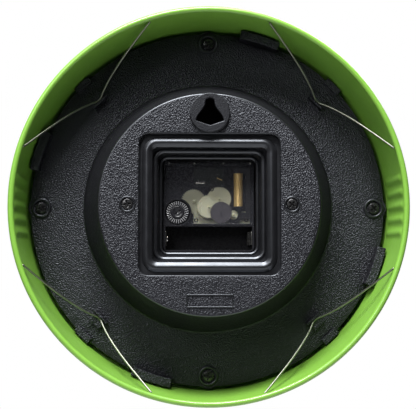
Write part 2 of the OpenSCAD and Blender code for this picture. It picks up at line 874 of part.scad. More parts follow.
// Points round a wire at one place on its path, square to its run there
function wire_ring(path, i) =
    let (run = path[min(i + 1, len(path) - 1)] - path[max(i - 1, 0)])
    let (side = cross(run, [1, 0, 0]) / norm(cross(run, [1, 0, 0])))
    let (up = cross(run, side) / norm(run))
    [for (j = [0:wire_sides - 1])
        path[i] + wire_r * (cos(j * 360 / wire_sides) * side + sin(j * 360 / wire_sides) * up)];

module spring_wire(number) {
    leg = [for (i = [0:leg_parts]) leg_point(i / leg_parts)];
    mirrored = [for (i = [0:leg_parts]) [leg[leg_parts - i].x, -leg[leg_parts - i].y, leg[leg_parts - i].z]];
    path = concat(mirrored, leg);
    count = len(path);
    rings = [for (i = [0:count - 1]) each wire_ring(path, i)];
    sides = [for (i = [0:count - 2], j = [0:wire_sides - 1])
        let (k = (j + 1) % wire_sides)
        [i * wire_sides + j, i * wire_sides + k, (i + 1) * wire_sides + k, (i + 1) * wire_sides + j]];
    first_end = [for (j = [wire_sides - 1:-1:0]) j];
    last_end = [for (j = [0:wire_sides - 1]) (count - 1) * wire_sides + j];
    color(steel) hung() rotate([0, 0, wire_dirs[number - 1]])
        polyhedron(points = rings, faces = concat([first_end], sides, [last_end]));
}

module spring_wire_1() { spring_wire(1); }
module spring_wire_2() { spring_wire(2); }
module spring_wire_3() { spring_wire(3); }
module spring_wire_4() { spring_wire(4); }

// ---- Movement housing ----

module movement_bracket() {
    post_z = plateau_z + skin_t + cup_pad_t;
    color(black) hung() difference() {
        union() {
            disc([0, 0], bracket_r, move_front, bracket_t);
            for (side = [-1, 1]) disc([side * cup_screw_x, 0], post_r, post_z, dial_z - post_z);
        }
        disc([0, 0], bush_r + fit_hole_gap, move_front - 1, bracket_t + 2);
        for (side = [-1, 1])
            disc([side * cup_screw_x, 0], shank_r, post_z - 1, post_pilot_l + 1, $fn = 32);
    }
}

// Outline of the movement, with rounded lower corners
module move_outline() {
    round_square(move_half, move_corner);
}

// Corner of the movement that holds the setting knob, in place of the cover
module pocket_outline(grow) {
    translate(knob_at) circle(r = pocket_r + 1 + grow);
    translate([knob_x - grow, -move_half]) square([move_half, move_half + knob_y + grow]);
}

// Pillars that carry the gear plate, the board and the far end of the stator
module pillars() {
    for (at = plate_pillars) disc(at, pillar_r, plate_z + plate_t, front_in - plate_z - plate_t);
    for (at = board_pillars) disc(at, pillar_r, board_z + board_t, front_in - board_z - board_t);
    disc(stator_pillar, pillar_r, stator_z + stator_t, front_in - stator_z - stator_t);
}

module movement_case() {
    color(black) hung() difference() {
        union() {
            difference() {
                translate([0, 0, move_rear]) linear_extrude(height = move_t) move_outline();
                translate([-room_half, room_low, move_rear - 1])
                    cube([2 * room_half, room_half - room_low, front_in - move_rear + 1]);
                translate([-move_half - 1, room_low - 1, move_rear - 1])
                    cube([move_w + 2, move_w, cover_t + 1]);
                translate([-room_half, bay_low, move_rear - 1])
                    cube([2 * room_half, bay_h, front_in - move_rear + 1]);
            }
            intersection() {
                translate([0, 0, move_rear]) linear_extrude(height = move_t) move_outline();
                translate([0, 0, move_rear]) linear_extrude(height = pocket_floor_z + pocket_floor_t - move_rear)
                    pocket_outline(0);
                translate([-move_half, bay_top, 0]) cube([move_w, move_w, front_z]);
            }
            pillars();
            disc([0, 0], bush_r, move_front, bush_l);
        }
        disc(knob_at, pocket_r, move_rear - 1, pocket_floor_z - move_rear + 1);
        disc(knob_at, knob_shaft_r + run_gap, pocket_floor_z - 1, pocket_floor_t + 2, $fn = 48);
        disc(knob_at, knob_pivot_r + run_gap, front_in - 1, 1 + pivot_l + run_gap, $fn = 32);
        disc(minute_at, arbor_r + run_gap, front_in - 1, 1 + pivot_l + run_gap, $fn = 32);
        disc([0, 0], hour_tube_r + run_gap, front_in - 1, bush_top - front_in + 2, $fn = 64);
        for (x = [-22, 22]) disc([x, bay_low + 3], 1.4, front_in - 1, 1.6, $fn = 32);
    }
}

module movement_cover() {
    color(smoke) hung() difference() {
        union() {
            intersection() {
                translate([0, 0, move_rear]) linear_extrude(height = cover_t) move_outline();
                translate([-move_half, room_low - 1 + touch_gap, move_rear]) cube([move_w, move_w, cover_t]);
            }
            for (at = [fifth_at, rotor_at, third_at, minute_at, [0, 0]]) disc(at, boss_r, cover_in, boss_h, $fn = 32);
        }
        translate([0, 0, move_rear - 1]) linear_extrude(height = cover_t + 2) pocket_outline(touch_gap);
        for (at = [fifth_at, rotor_at, third_at, minute_at])
            disc(at, arbor_r + run_gap, cover_in - pivot_l - run_gap, cover_t + boss_h + 1, $fn = 32);
        disc([0, 0], second_arbor_r + run_gap, cover_in - pivot_l - run_gap, cover_t + boss_h + 1, $fn = 32);
    }
}

module gear_plate() {
    color(cream) hung() difference() {
        union() {
            translate([0, 0, plate_z]) linear_extrude(height = plate_t) {
                translate(plate_low) square(plate_size);
                translate(arm_low) square(arm_size);
                translate(third_at) circle(r = third_eye_r);
                circle(r = centre_eye_r);
            }
            disc(plate_post, pillar_r, stator_z + stator_t, plate_z - stator_z - stator_t);
            disc(rotor_at + polar(stator_post_r, stator_post_dir), pillar_r, stator_z + stator_t, plate_z - stator_z - stator_t);
        }
        for (at = [fifth_at, rotor_at, third_at])
            disc(at, arbor_r + run_gap, plate_z - 2, plate_t + 4, $fn = 32);
        disc([0, 0], minute_arbor_r + plate_hole_gap, plate_z - 2, plate_t + 4);
    }
}

module fixing_washer() {
    color(steel) hung() tube(nut_af / 2 + washer_over, bush_r + fit_hole_gap, face_z, washer_t);
}

module fixing_nut() {
    color(brass) hung() difference() {
        translate([0, 0, face_z + washer_t]) cylinder(d = nut_af / cos(30), h = nut_t, $fn = 6);
        disc([0, 0], bush_r, face_z, nut_t + 2);
    }
}

// ---- Motor and electrical pieces ----

module stator() {
    color(steel) hung() translate([0, 0, stator_z]) linear_extrude(height = stator_t) difference() {
        union() {
            translate(rotor_at) circle(r = stator_ring_r);
            translate(stator_low) square([stator_foot_l, stator_foot_w]);
            translate(stator_low) square([stator_leg_w, stator_h]);
            translate([stator_low.x, stator_low.y + stator_h - stator_arm_w]) square([stator_arm_l, stator_arm_w]);
        }
        translate(rotor_at) circle(r = stator_hole_r);
        translate([coil_x - coil_flange_r - coil_gap, coil_low - coil_gap])
            square([2 * coil_flange_r + coil_side_room, coil_high - coil_low + 1.4 * coil_gap]);
    }
}

module coil_core() {
    color(steel) hung() translate([coil_x - core_w / 2, core_low, core_z]) cube([core_w, core_l, core_t]);
}

// Cylinder along the coil, from one height to another
module coil_cylinder(r, from, to) {
    translate([coil_x, from, coil_z]) rotate([-90, 0, 0]) cylinder(r = r, h = to - from);
}

module coil_bobbin() {
    color(cream) hung() difference() {
        union() {
            coil_cylinder(coil_tube_r, coil_low, coil_high);
            coil_cylinder(coil_flange_r, coil_low, coil_low + coil_flange_t);
            coil_cylinder(coil_flange_r, coil_high - coil_flange_t, coil_high);
        }
        translate([coil_x - core_w / 2 - touch_gap, coil_low - 1, core_z - touch_gap])
            cube([core_w + 2 * touch_gap, coil_high - coil_low + 2, core_t + 2 * touch_gap]);
    }
}

module coil_winding() {
    color(copper) hung() difference() {
        coil_cylinder(coil_r, coil_low + coil_flange_t, coil_high - coil_flange_t);
        coil_cylinder(coil_tube_r, coil_low, coil_high);
    }
}

module circuit_board() {
    color(board_green) hung() {
        translate([board_low.x, board_low.y, board_z]) cube([board_size.x, board_size.y, board_t]);
        translate([chip_at.x, chip_at.y, board_z - chip_h]) cylinder(r = chip_r, h = chip_h + board_t / 2);
    }
}

module quartz_crystal() {
    color(steel) hung() translate([crystal_at.x, crystal_at.y, board_z - crystal_r])
        rotate([0, 90, 0]) cylinder(r = crystal_r, h = crystal_l, $fn = 32);
}

module contact_positive() {
    x = room_half - contact_gap - contact_t;
    color(steel) hung() {
        translate([x, contact_mid - contact_w / 2, move_rear + contact_inset]) cube([contact_t, contact_w, contact_l]);
        translate([x - button_h, contact_mid, move_rear + button_z])
            rotate([0, 90, 0]) cylinder(r = button_r, h = button_h);
    }
}

// Folded leaf that presses on the battery's flat end
module contact_negative() {
    leaf = [for (i = [0:leaf_folds]) [i == 0 ? 0 : i % 2 == 0 ? leaf_root : leaf_out, i * leaf_pitch]];
    count = len(leaf);
    color(steel) hung() translate([-room_half + contact_gap, contact_mid - leaf_w / 2, move_rear + contact_inset])
        rotate([90, 0, 0]) mirror([0, 0, 1]) linear_extrude(height = leaf_w)
            polygon(concat(leaf, [for (i = [0:count - 1]) leaf[count - 1 - i] + [contact_t, 0]]));
}

// ---- Gear train ----

module rotor() {
    color(cream) hung() translate(rotor_at) {
        train_arbor();
        pinion_teeth(rotor_teeth, fast_module, rotor_turn, layer_1);
        translate([0, 0, magnet_z]) cylinder(r = magnet_r, h = magnet_t);
    }
}

module fifth_wheel() {
    color(grain_black) hung() translate(fifth_at) {
        train_arbor();
        wheel_teeth(fifth_teeth, fast_module, 0, layer_1);
        pinion_teeth(fifth_pinion_teeth, fast_module, fifth_turn, layer_2);
        disc([0, 0], stem_r, layer_1, layer_2 - layer_1);
    }
}

module second_wheel() {
    color(cream) hung() {
        arbor(second_arbor_r, cover_in - pivot_l, second_hub_z + hub_t);
        wheel_teeth(second_teeth, fast_module, 0, layer_2);
        pinion_teeth(second_pinion_teeth, third_module, 0, layer_3);
        disc([0, 0], thin_stem_r, layer_2, layer_3 - layer_2);
    }
}

module third_wheel() {
    color(cream) hung() translate(third_at) {
        train_arbor();
        wheel_teeth(third_teeth, third_module, third_turn, layer_3);
        pinion_teeth(third_pinion_teeth, centre_module, 0, layer_4);
        disc([0, 0], thin_stem_r, layer_3, layer_4 - layer_3);
    }
}

module centre_wheel() {
    color(cream) hung() difference() {
        union() {
            wheel_teeth(centre_teeth, centre_module, centre_turn, layer_4);
            disc([0, 0], centre_hub_r, layer_4, wheel_t + centre_hub_over);
        }
        disc([0, 0], minute_arbor_r + run_gap, layer_4 - 1, wheel_t + 3, $fn = 64);
    }
}

module cannon_pinion() {
    color(brass) hung() difference() {
        union() {
            disc([0, 0], minute_arbor_r, layer_4 - 0.1, minute_hub_z + hub_t - layer_4 + 0.1, $fn = 64);
            pinion_teeth(cannon_teeth, motion_module, 0, layer_5);
        }
        disc([0, 0], second_arbor_r + run_gap, layer_4 - 1, minute_hub_z + hub_t - layer_4 + 2, $fn = 32);
    }
}

module minute_wheel() {
    color(cream) hung() translate(minute_at) {
        arbor(arbor_r, cover_in - pivot_l, front_in + pivot_l);
        wheel_teeth(minute_teeth, motion_module, minute_turn, layer_5);
        pinion_teeth(minute_pinion_teeth, hour_module, 0, layer_6);
        disc([0, 0], minute_stem_r, layer_5 - minute_stem_over, layer_6 - layer_5 + minute_stem_over);
    }
}

module hour_wheel() {
    color(cream) hung() difference() {
        union() {
            wheel_teeth(hour_teeth, hour_module, hour_turn, layer_6);
            disc([0, 0], hour_tube_r, layer_6, hour_hub_z + hour_hub_t - layer_6, $fn = 64);
        }
        disc([0, 0], minute_arbor_r + run_gap, layer_6 - 1, hour_hub_z + hour_hub_t - layer_6 + 2, $fn = 64);
    }
}

module set_knob() {
    knob_z = pocket_floor_z - knob_gap - knob_t;
    color(black) hung() translate(knob_at) {
        for (turn = [0, 180 / knob_ridges]) rotate([0, 0, turn])
            translate([0, 0, knob_z]) cylinder(r = knob_r - ridge_out, h = knob_t, $fn = 64);
        for (i = [0:knob_ridges - 1]) rotate([0, 0, i * 360 / knob_ridges])
            translate([knob_hub_r - ridge_in, -ridge_w / 2, knob_z - ridge_h])
                cube([knob_r - knob_hub_r + ridge_in - knob_gap / 3, ridge_w, knob_t]);
        translate([0, 0, knob_z - knob_hub_h]) cylinder(r = knob_hub_r, h = knob_t);
        arbor(knob_shaft_r, knob_z, layer_5);
        pinion_teeth(knob_teeth, motion_module, knob_turn, layer_5);
        arbor(knob_pivot_r, layer_5, front_in + pivot_l);
    }
}

// ---- Hands ----

// Turns a hand clockwise from twelve, as seen on the dial
module at_time(angle) {
    rotate([0, 0, -angle]) children();
}

module hand_hub(shaft_r, hub_r, z, h) {
    tube(hub_r, shaft_r, z, h);
}

// Tapered blade from the hub to a pointed tip
module blade(length, root_w, tip_w, tail, shaft_r, z) {
    translate([0, 0, z]) linear_extrude(height = hand_t) difference() {
        union() {
            polygon([[-root_w / 2, -tail], [root_w / 2, -tail], [root_w / 2, 0], [tip_w / 2, length - tip_w],
                     [0, length], [-tip_w / 2, length - tip_w], [-root_w / 2, 0]]);
            circle(r = shaft_r + eye_w, $fn = 48);
        }
        circle(r = shaft_r, $fn = 48);
    }
}

module hour_hand() {
    color(black) hung() at_time(hour_angle) {
        hand_hub(hour_tube_r, hour_tube_r + hub_w, hour_hub_z, hour_hub_t);
        blade(hour_l, hour_root_w, hour_tip_w, hour_tail, hour_tube_r, hour_hub_z + blade_drop);
    }
}

module minute_hand() {
    color(black) hung() at_time(minute_angle) {
        hand_hub(minute_arbor_r, minute_arbor_r + hub_w, minute_hub_z, hub_t);
        blade(minute_l, minute_root_w, minute_tip_w, minute_tail, minute_arbor_r, minute_hub_z + blade_drop);
    }
}

module second_hand() {
    color([0.8, 0.1, 0.08]) hung() at_time(second_angle) {
        hand_hub(second_arbor_r, second_arbor_r + second_hub_w, second_hub_z, hub_t);
        blade(second_l, second_root_w, second_tip_w, second_tail, second_arbor_r, second_hub_z + blade_drop);
        translate([0, -weight_at, second_hub_z + blade_drop]) cylinder(r = weight_r, h = hand_t, $fn = 48);
    }
}

case_ring();
lens();
lens_gasket();
dial_spacer();
dial_plate();
dial_print();
back_cover();
wall_hanger();
flange_screws();
cup_screws();
spring_wire_1();
spring_wire_2();
spring_wire_3();
spring_wire_4();
movement_bracket();
movement_case();
movement_cover();
gear_plate();
fixing_washer();
fixing_nut();
stator();
coil_core();
coil_bobbin();
coil_winding();
circuit_board();
quartz_crystal();
contact_positive();
contact_negative();
rotor();
fifth_wheel();
second_wheel();
third_wheel();
centre_wheel();
cannon_pinion();
minute_wheel();
hour_wheel();
set_knob();
hour_hand();
minute_hand();
second_hand();
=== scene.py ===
"""Looks of a round battery wall clock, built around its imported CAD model.

The clock hangs with its dial towards -Y and its back towards +Y. Sizes in this file are in
millimetres about the clock's own axis: x to the right of the dial, y up, and depth from the
wall towards the dial. ClockSpace turns them into the frame's metres.
"""

import json
import logging
import math
from dataclasses import dataclass, field
from enum import Enum
from typing import Callable, Iterable, Sequence

import bmesh
import bpy
from mathutils import Matrix, Vector


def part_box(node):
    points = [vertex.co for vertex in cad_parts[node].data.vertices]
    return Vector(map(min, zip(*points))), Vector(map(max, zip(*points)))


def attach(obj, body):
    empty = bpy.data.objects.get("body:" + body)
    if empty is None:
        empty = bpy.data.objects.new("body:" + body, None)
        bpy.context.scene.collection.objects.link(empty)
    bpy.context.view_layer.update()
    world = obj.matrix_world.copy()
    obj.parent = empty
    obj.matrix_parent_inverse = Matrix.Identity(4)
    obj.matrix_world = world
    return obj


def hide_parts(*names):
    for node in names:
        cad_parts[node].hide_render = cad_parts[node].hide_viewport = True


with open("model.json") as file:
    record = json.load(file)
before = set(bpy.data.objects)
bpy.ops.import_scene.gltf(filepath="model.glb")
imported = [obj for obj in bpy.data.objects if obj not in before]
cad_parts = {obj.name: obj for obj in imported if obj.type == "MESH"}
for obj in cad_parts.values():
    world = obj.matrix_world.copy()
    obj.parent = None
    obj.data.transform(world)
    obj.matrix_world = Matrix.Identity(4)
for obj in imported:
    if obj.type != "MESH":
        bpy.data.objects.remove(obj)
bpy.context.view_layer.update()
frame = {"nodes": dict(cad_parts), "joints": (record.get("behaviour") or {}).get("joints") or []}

MM = 0.001
FULL_TURN = 2 * math.pi
SCREW_R = 105.0         # distance of the flange screws from the axis
CUP_SCREW_X = 49.5      # distance of the cup screws from the axis
FLANGE_OUT = 6.7        # how far the cover's edge lies beyond the flange screws
BEND_IN = 14.7          # how far a wire's bend lies inside the cover's edge
WIRE_DIRS = (44.5, 135.5, 226.5, 314.5)     # directions of the spring wires, in degrees
SAME_POINT = 1e-6       # points nearer than this, in metres, are one point
SAME_FACE = 0.4         # faces that lean apart by less than this, in degrees, are one face
log = logging.getLogger("clock")

Colour = tuple[float, float, float]
Point = tuple[float, float, float]
Profile = list[tuple[float, float]]


# ---------------------------------------------------------------- space and shared shapes


@dataclass(frozen=True)
class ClockSpace:
    """The clock's own axis in the frame.

    Attributes:
        axis_z: height of the axis in the frame, in millimetres.
    """

    axis_z: float

    @classmethod
    def from_frame(cls) -> "ClockSpace":
        """Reads the height of the axis from the joint of the second hand."""
        spin = next(joint for joint in frame["joints"] if joint["name"] == "second_spin")
        return cls(spin["pos_m"][2] / MM)

    def at(self, x: float, y: float, depth: float) -> Point:
        """Gives a place about the axis as a point of the frame, in metres."""
        return (x * MM, -depth * MM, (y + self.axis_z) * MM)

    def polar(self, radius: float, angle: float, depth: float) -> Point:
        """Gives a place at a radius and an angle in radians as a point of the frame."""
        return self.at(radius * math.cos(angle), radius * math.sin(angle), depth)

    def circle(self, radius: float, depth: float, steps: int,
               middle: tuple[float, float] = (0, 0)) -> list[Point]:
        """Gives the points of a circle that faces along the axis."""
        angles = [FULL_TURN * i / steps for i in range(steps)]
        return [self.at(middle[0] + radius * math.cos(a), middle[1] + radius * math.sin(a), depth)
                for a in angles]

    def depths(self, node: str) -> tuple[float, float]:
        """Gives the rear and front depth of a CAD node, in millimetres."""
        low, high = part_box(node)
        return -high.y / MM, -low.y / MM

    def centre(self, node: str) -> tuple[float, float]:
        """Gives the middle of a CAD node across the axis, in millimetres."""
        low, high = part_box(node)
        return (low.x + high.x) / 2 / MM, (low.z + high.z) / 2 / MM - self.axis_z

    def half_width(self, node: str) -> float:
        """Gives half the width of a CAD node, in millimetres."""
        low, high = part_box(node)
        return (high.x - low.x) / 2 / MM


SPACE = ClockSpace.from_frame()


def arc(centre: tuple[float, float], radius: float, start: float, end: float, steps: int) -> Profile:
    """Makes the points of an arc.

    Args:
        centre: middle of the arc.
        radius: its radius.
        start: first angle, in degrees.
        end: last angle, in degrees.
        steps: number of straight pieces.

    Returns:
        The points from the first angle to the last.
    """
    angles = [math.radians(start + (end - start) * i / steps) for i in range(steps + 1)]
    return [(centre[0] + radius * math.cos(a), centre[1] + radius * math.sin(a)) for a in angles]


def smooth_step(low: float, high: float, value: float) -> float:
    """Rises smoothly from 0 at low to 1 at high."""
    share = min(1.0, max(0.0, (value - low) / (high - low)))
    return share * share * (3 - 2 * share)


class Shell:
    """A mesh under construction, in the frame's metres, with a finish index for each face."""

    def __init__(self) -> None:
        """Starts with no points and no faces."""
        self.points: list[Point] = []
        self.faces: list[list[int]] = []
        self.marks: list[int] = []

    def ring(self, points: Iterable[Point]) -> list[int]:
        """Adds points and gives their numbers."""
        first = len(self.points)
        self.points.extend(points)
        return list(range(first, len(self.points)))

    def face(self, corners: Sequence[int], mark: int = 0) -> None:
        """Adds one face."""
        self.faces.append(list(corners))
        self.marks.append(mark)

    def bridge(self, one: Sequence[int], other: Sequence[int], mark: int = 0, closed: bool = True) -> None:
        """Joins two rings of the same length with four-sided faces.

        Args:
            one: numbers of the first ring's points.
            other: numbers of the second ring's points.
            mark: finish index of the new faces.
            closed: True if the rings run all the way round.
        """
        count = len(one)
        for i in range(count if closed else count - 1):
            k = (i + 1) % count
            self.face([one[i], one[k], other[k], other[i]], mark)

    def loft(self, rings: Sequence[Sequence[Point]], marks: Callable[[int], int] = lambda i: 0,
             looped: bool = False, capped: bool = False) -> None:
        """Skins a row of closed rings.

        Args:
            rings: the rings' points, each ring of the same length.
            marks: gives the finish index of the strip after a ring.
            looped: True if the last ring joins the first.
            capped: True to close both ends with one face each.
        """
        numbers = [self.ring(points) for points in rings]
        for i in range(len(numbers) if looped else len(numbers) - 1):
            self.bridge(numbers[i], numbers[(i + 1) % len(numbers)], marks(i))
        if capped:
            self.face(numbers[0][::-1], marks(0))
            self.face(numbers[-1], marks(len(numbers) - 1))

    def lathe(self, profile: Profile, steps: int, at: tuple[float, float] = (0, 0), looped: bool = True,
              marks: Callable[[int], int] = lambda i: 0) -> None:
        """Turns a profile of radius and depth about an axis parallel to the clock's.

        Args:
            profile: radius and depth of each point.
            steps: number of faces round the axis.
            at: where the axis stands.
            looped: True if the profile closes on itself.
            marks: gives the finish index of the strip after a point.
        """
        self.loft([SPACE.circle(r, z, steps, at) for r, z in profile], marks, looped)

    def tube(self, path: Sequence[Vector], radius: float, sides: int) -> None:
        """Sweeps a round bar with domed ends along a path, all in metres."""
        run = (path[1] - path[0]).normalized()
        side = run.orthogonal().normalized()
        rings = []
        last = len(path) - 1
        domes = {0: [(0.0, 0.05), (0.35, 0.7), (1.0, 1.0)], last: [(0.0, 1.0), (0.65, 0.7), (1.0, 0.05)]}
        for i, place in enumerate(path):
            ahead = (path[min(i + 1, last)] - path[max(i - 1, 0)]).normalized()
            side = (side - ahead * side.dot(ahead)).normalized()
            up = ahead.cross(side)
            for shift, share in domes.get(i, [(0.0, 1.0)]):
                along = ahead * radius * (shift - (1 if i == 0 else 0))
                ring = [place + along + radius * share * (math.cos(a) * side + math.sin(a) * up)
                        for a in (FULL_TURN * k / sides for k in range(sides))]
                rings.append([tuple(point) for point in ring])
        self.loft(rings, capped=True)

    def block(self, corners: Sequence[Point]) -> None:
        """Adds a box from its four rear corners followed by its four front corners."""
        rear = self.ring(corners[:4])
        front = self.ring(corners[4:])
        self.bridge(rear, front)
        self.face(rear[::-1])
        self.face(front)

    def build(self, name: str, finishes: Sequence["Finish"], sharp: float = 35) -> bpy.types.Object:
        """Makes the object.

        Args:
            name: the object's name.
            finishes: the finish of each face index.
            sharp: angle in degrees above which an edge is drawn sharp.

        Returns:
            The new object, linked to the scene.
        """
        mesh = bpy.data.meshes.new(name)
        mesh.from_pydata(self.points, [], self.faces)
        for finish in finishes:
            mesh.materials.append(finish.material())
        mesh.polygons.foreach_set("material_index", self.marks)
        tidy = bmesh.new()
        tidy.from_mesh(mesh)
        bmesh.ops.recalc_face_normals(tidy, faces=tidy.faces)
        tidy.to_mesh(mesh)
        tidy.free()
        return show(name, mesh, sharp)


def show(name: str, mesh: bpy.types.Mesh, sharp: float = 35) -> bpy.types.Object:
    """Links a mesh as a smooth-shaded object with sharp edges above an angle in degrees."""
    mesh.shade_smooth()
    mesh.set_sharp_from_angle(angle=math.radians(sharp))
    piece = bpy.data.objects.new(name, mesh)
    bpy.context.scene.collection.objects.link(piece)
    return piece


def soften(piece: bpy.types.Object, width: float, steps: int = 2, angle: float = 40) -> bpy.types.Object:
    """Rounds the edges of a piece.

    Args:
        piece: the object.
        width: width of the round, in millimetres.
        steps: number of faces across the round.
        angle: edges sharper than this many degrees are rounded.

    Returns:
        The same object.
    """
    bevel = piece.modifiers.new("soft_edges", "BEVEL")
    bevel.width = width * MM
    bevel.segments = steps
    bevel.limit_method = "ANGLE"
    bevel.angle_limit = math.radians(angle)
    bevel.use_clamp_overlap = True
    normals = piece.modifiers.new("even_normals", "WEIGHTED_NORMAL")
    normals.keep_sharp = True
    return piece


def apply_modifiers(piece: bpy.types.Object) -> bpy.types.Object:
    """Bakes a piece's modifiers into its mesh."""
    graph = bpy.context.evaluated_depsgraph_get()
    mesh = bpy.data.meshes.new_from_object(piece.evaluated_get(graph))
    piece.modifiers.clear()
    piece.data = mesh
    return piece


# ---------------------------------------------------------------- finishes


class Grain(Enum):
    """Relief that a surface carries."""

    MOULDED = "fine mould texture"
    LEATHER = "leather-like mould texture"
    PEEL = "slow waves of sprayed enamel"
    DRAWN = "long scratches along a wire"
    TURNED = "rings left by a lathe"
    WOUND = "turns of fine wire"


class Recipe:
    """Builds the nodes of one material."""

    def __init__(self, name: str) -> None:
        """Starts a material with a Principled shader and object coordinates."""
        self.material = bpy.data.materials.new(name)
        self.material.use_nodes = True
        self.tree = self.material.node_tree
        self.shader = self.tree.nodes["Principled BSDF"]
        self.place = self.tree.nodes.new("ShaderNodeTexCoord").outputs["Object"]

    def set(self, **sockets: object) -> None:
        """Sets sockets of the shader, written with underscores for spaces."""
        for socket, value in sockets.items():
            self.shader.inputs[socket.replace("_", " ")].default_value = value

    def feed(self, socket: str, source: bpy.types.NodeSocket) -> None:
        """Links a source to a socket of the shader."""
        self.tree.links.new(source, self.shader.inputs[socket])

    def node(self, kind: str, inputs: dict[str, object], **settings: object) -> bpy.types.Node:
        """Adds a node.

        Args:
            kind: the node's type name.
            inputs: value or source socket for each named or numbered input.
            **settings: the node's own properties.

        Returns:
            The new node.
        """
        made = self.tree.nodes.new(kind)
        for key, value in settings.items():
            setattr(made, key, value)
        for key, value in inputs.items():
            socket = made.inputs[int(key)] if key.isdigit() else made.inputs[key]
            if isinstance(value, bpy.types.NodeSocket):
                self.tree.links.new(value, socket)
            else:
                socket.default_value = value
        return made

    def noise(self, size: float, detail: float = 3, stretch: Point = (1, 1, 1)) -> bpy.types.NodeSocket:
        """Adds noise whose features are about the given size in millimetres."""
        mapped = self.node("ShaderNodeMapping", {"Vector": self.place, "Scale": stretch}).outputs["Vector"]
        inputs = {"Vector": mapped, "Scale": 1 / (size * MM), "Detail": detail}
        return self.node("ShaderNodeTexNoise", inputs).outputs["Fac"]

    def cells(self, size: float, warp: float = 0) -> bpy.types.NodeSocket:
        """Adds rounded cells of the given size in millimetres, pushed about by a warp."""
        vector = self.place
        if warp:
            push = self.node("ShaderNodeTexNoise", {"Vector": self.place, "Scale": 0.6 / (size * MM)})
            inputs = {"0": push.outputs["Color"], "1": (warp * MM,) * 3, "2": self.place}
            vector = self.node("ShaderNodeVectorMath", inputs, operation="MULTIPLY_ADD").outputs[0]
        inputs = {"Vector": vector, "Scale": 1 / (size * MM), "Smoothness": 0.12}
        return self.node("ShaderNodeTexVoronoi", inputs, feature="SMOOTH_F1").outputs["Distance"]

    def spread(self, source: bpy.types.NodeSocket, low: float, high: float,
               start: float = 0.3, end: float = 0.7) -> bpy.types.NodeSocket:
        """Maps a source from start..end to low..high, held at both ends."""
        made = self.node("ShaderNodeMapRange", {"Value": source, "From Min": start, "From Max": end,
                                                "To Min": low, "To Max": high})
        return made.outputs["Result"]

    def combine(self, operation: str, one: object, other: object) -> bpy.types.NodeSocket:
        """Combines two values with a math operation."""
        return self.node("ShaderNodeMath", {"0": one, "1": other}, operation=operation).outputs[0]

    def blend(self, share: object, one: object, other: object) -> bpy.types.NodeSocket:
        """Blends two colours."""
        made = self.tree.nodes.new("ShaderNodeMix")
        made.data_type = "RGBA"
        for socket, value in ((made.inputs[0], share), (made.inputs[6], one), (made.inputs[7], other)):
            if isinstance(value, bpy.types.NodeSocket):
                self.tree.links.new(value, socket)
            else:
                socket.default_value = (*value, 1) if isinstance(value, tuple) else value
        return made.outputs[2]

    def edges(self, low: float, high: float) -> bpy.types.NodeSocket:
        """Gives 1 on sharp outer edges and 0 on flat ground, for edge wear and a painted edge highlight."""
        point = self.node("ShaderNodeNewGeometry", {}).outputs["Pointiness"]
        return self.spread(point, 0, 1, low, high)

    def radius(self) -> bpy.types.NodeSocket:
        """Gives the distance from the clock's axis, in millimetres."""
        split = self.node("ShaderNodeSeparateXYZ", {"Vector": self.place})
        up = self.combine("SUBTRACT", split.outputs["Z"], SPACE.axis_z * MM)
        across = self.combine("MULTIPLY", split.outputs["X"], split.outputs["X"])
        squares = self.node("ShaderNodeMath", {"0": up, "1": up, "2": across}, operation="MULTIPLY_ADD")
        return self.combine("MULTIPLY", self.combine("SQRT", squares.outputs[0], 0.0), 1 / MM)

    def relief(self, height: bpy.types.NodeSocket, depth: float, strength: float = 1.0) -> None:
        """Turns a height from 0 to 1 into relief of a depth in millimetres."""
        bump = self.node("ShaderNodeBump", {"Height": height, "Distance": depth * MM, "Strength": strength})
        self.feed("Normal", bump.outputs["Normal"])


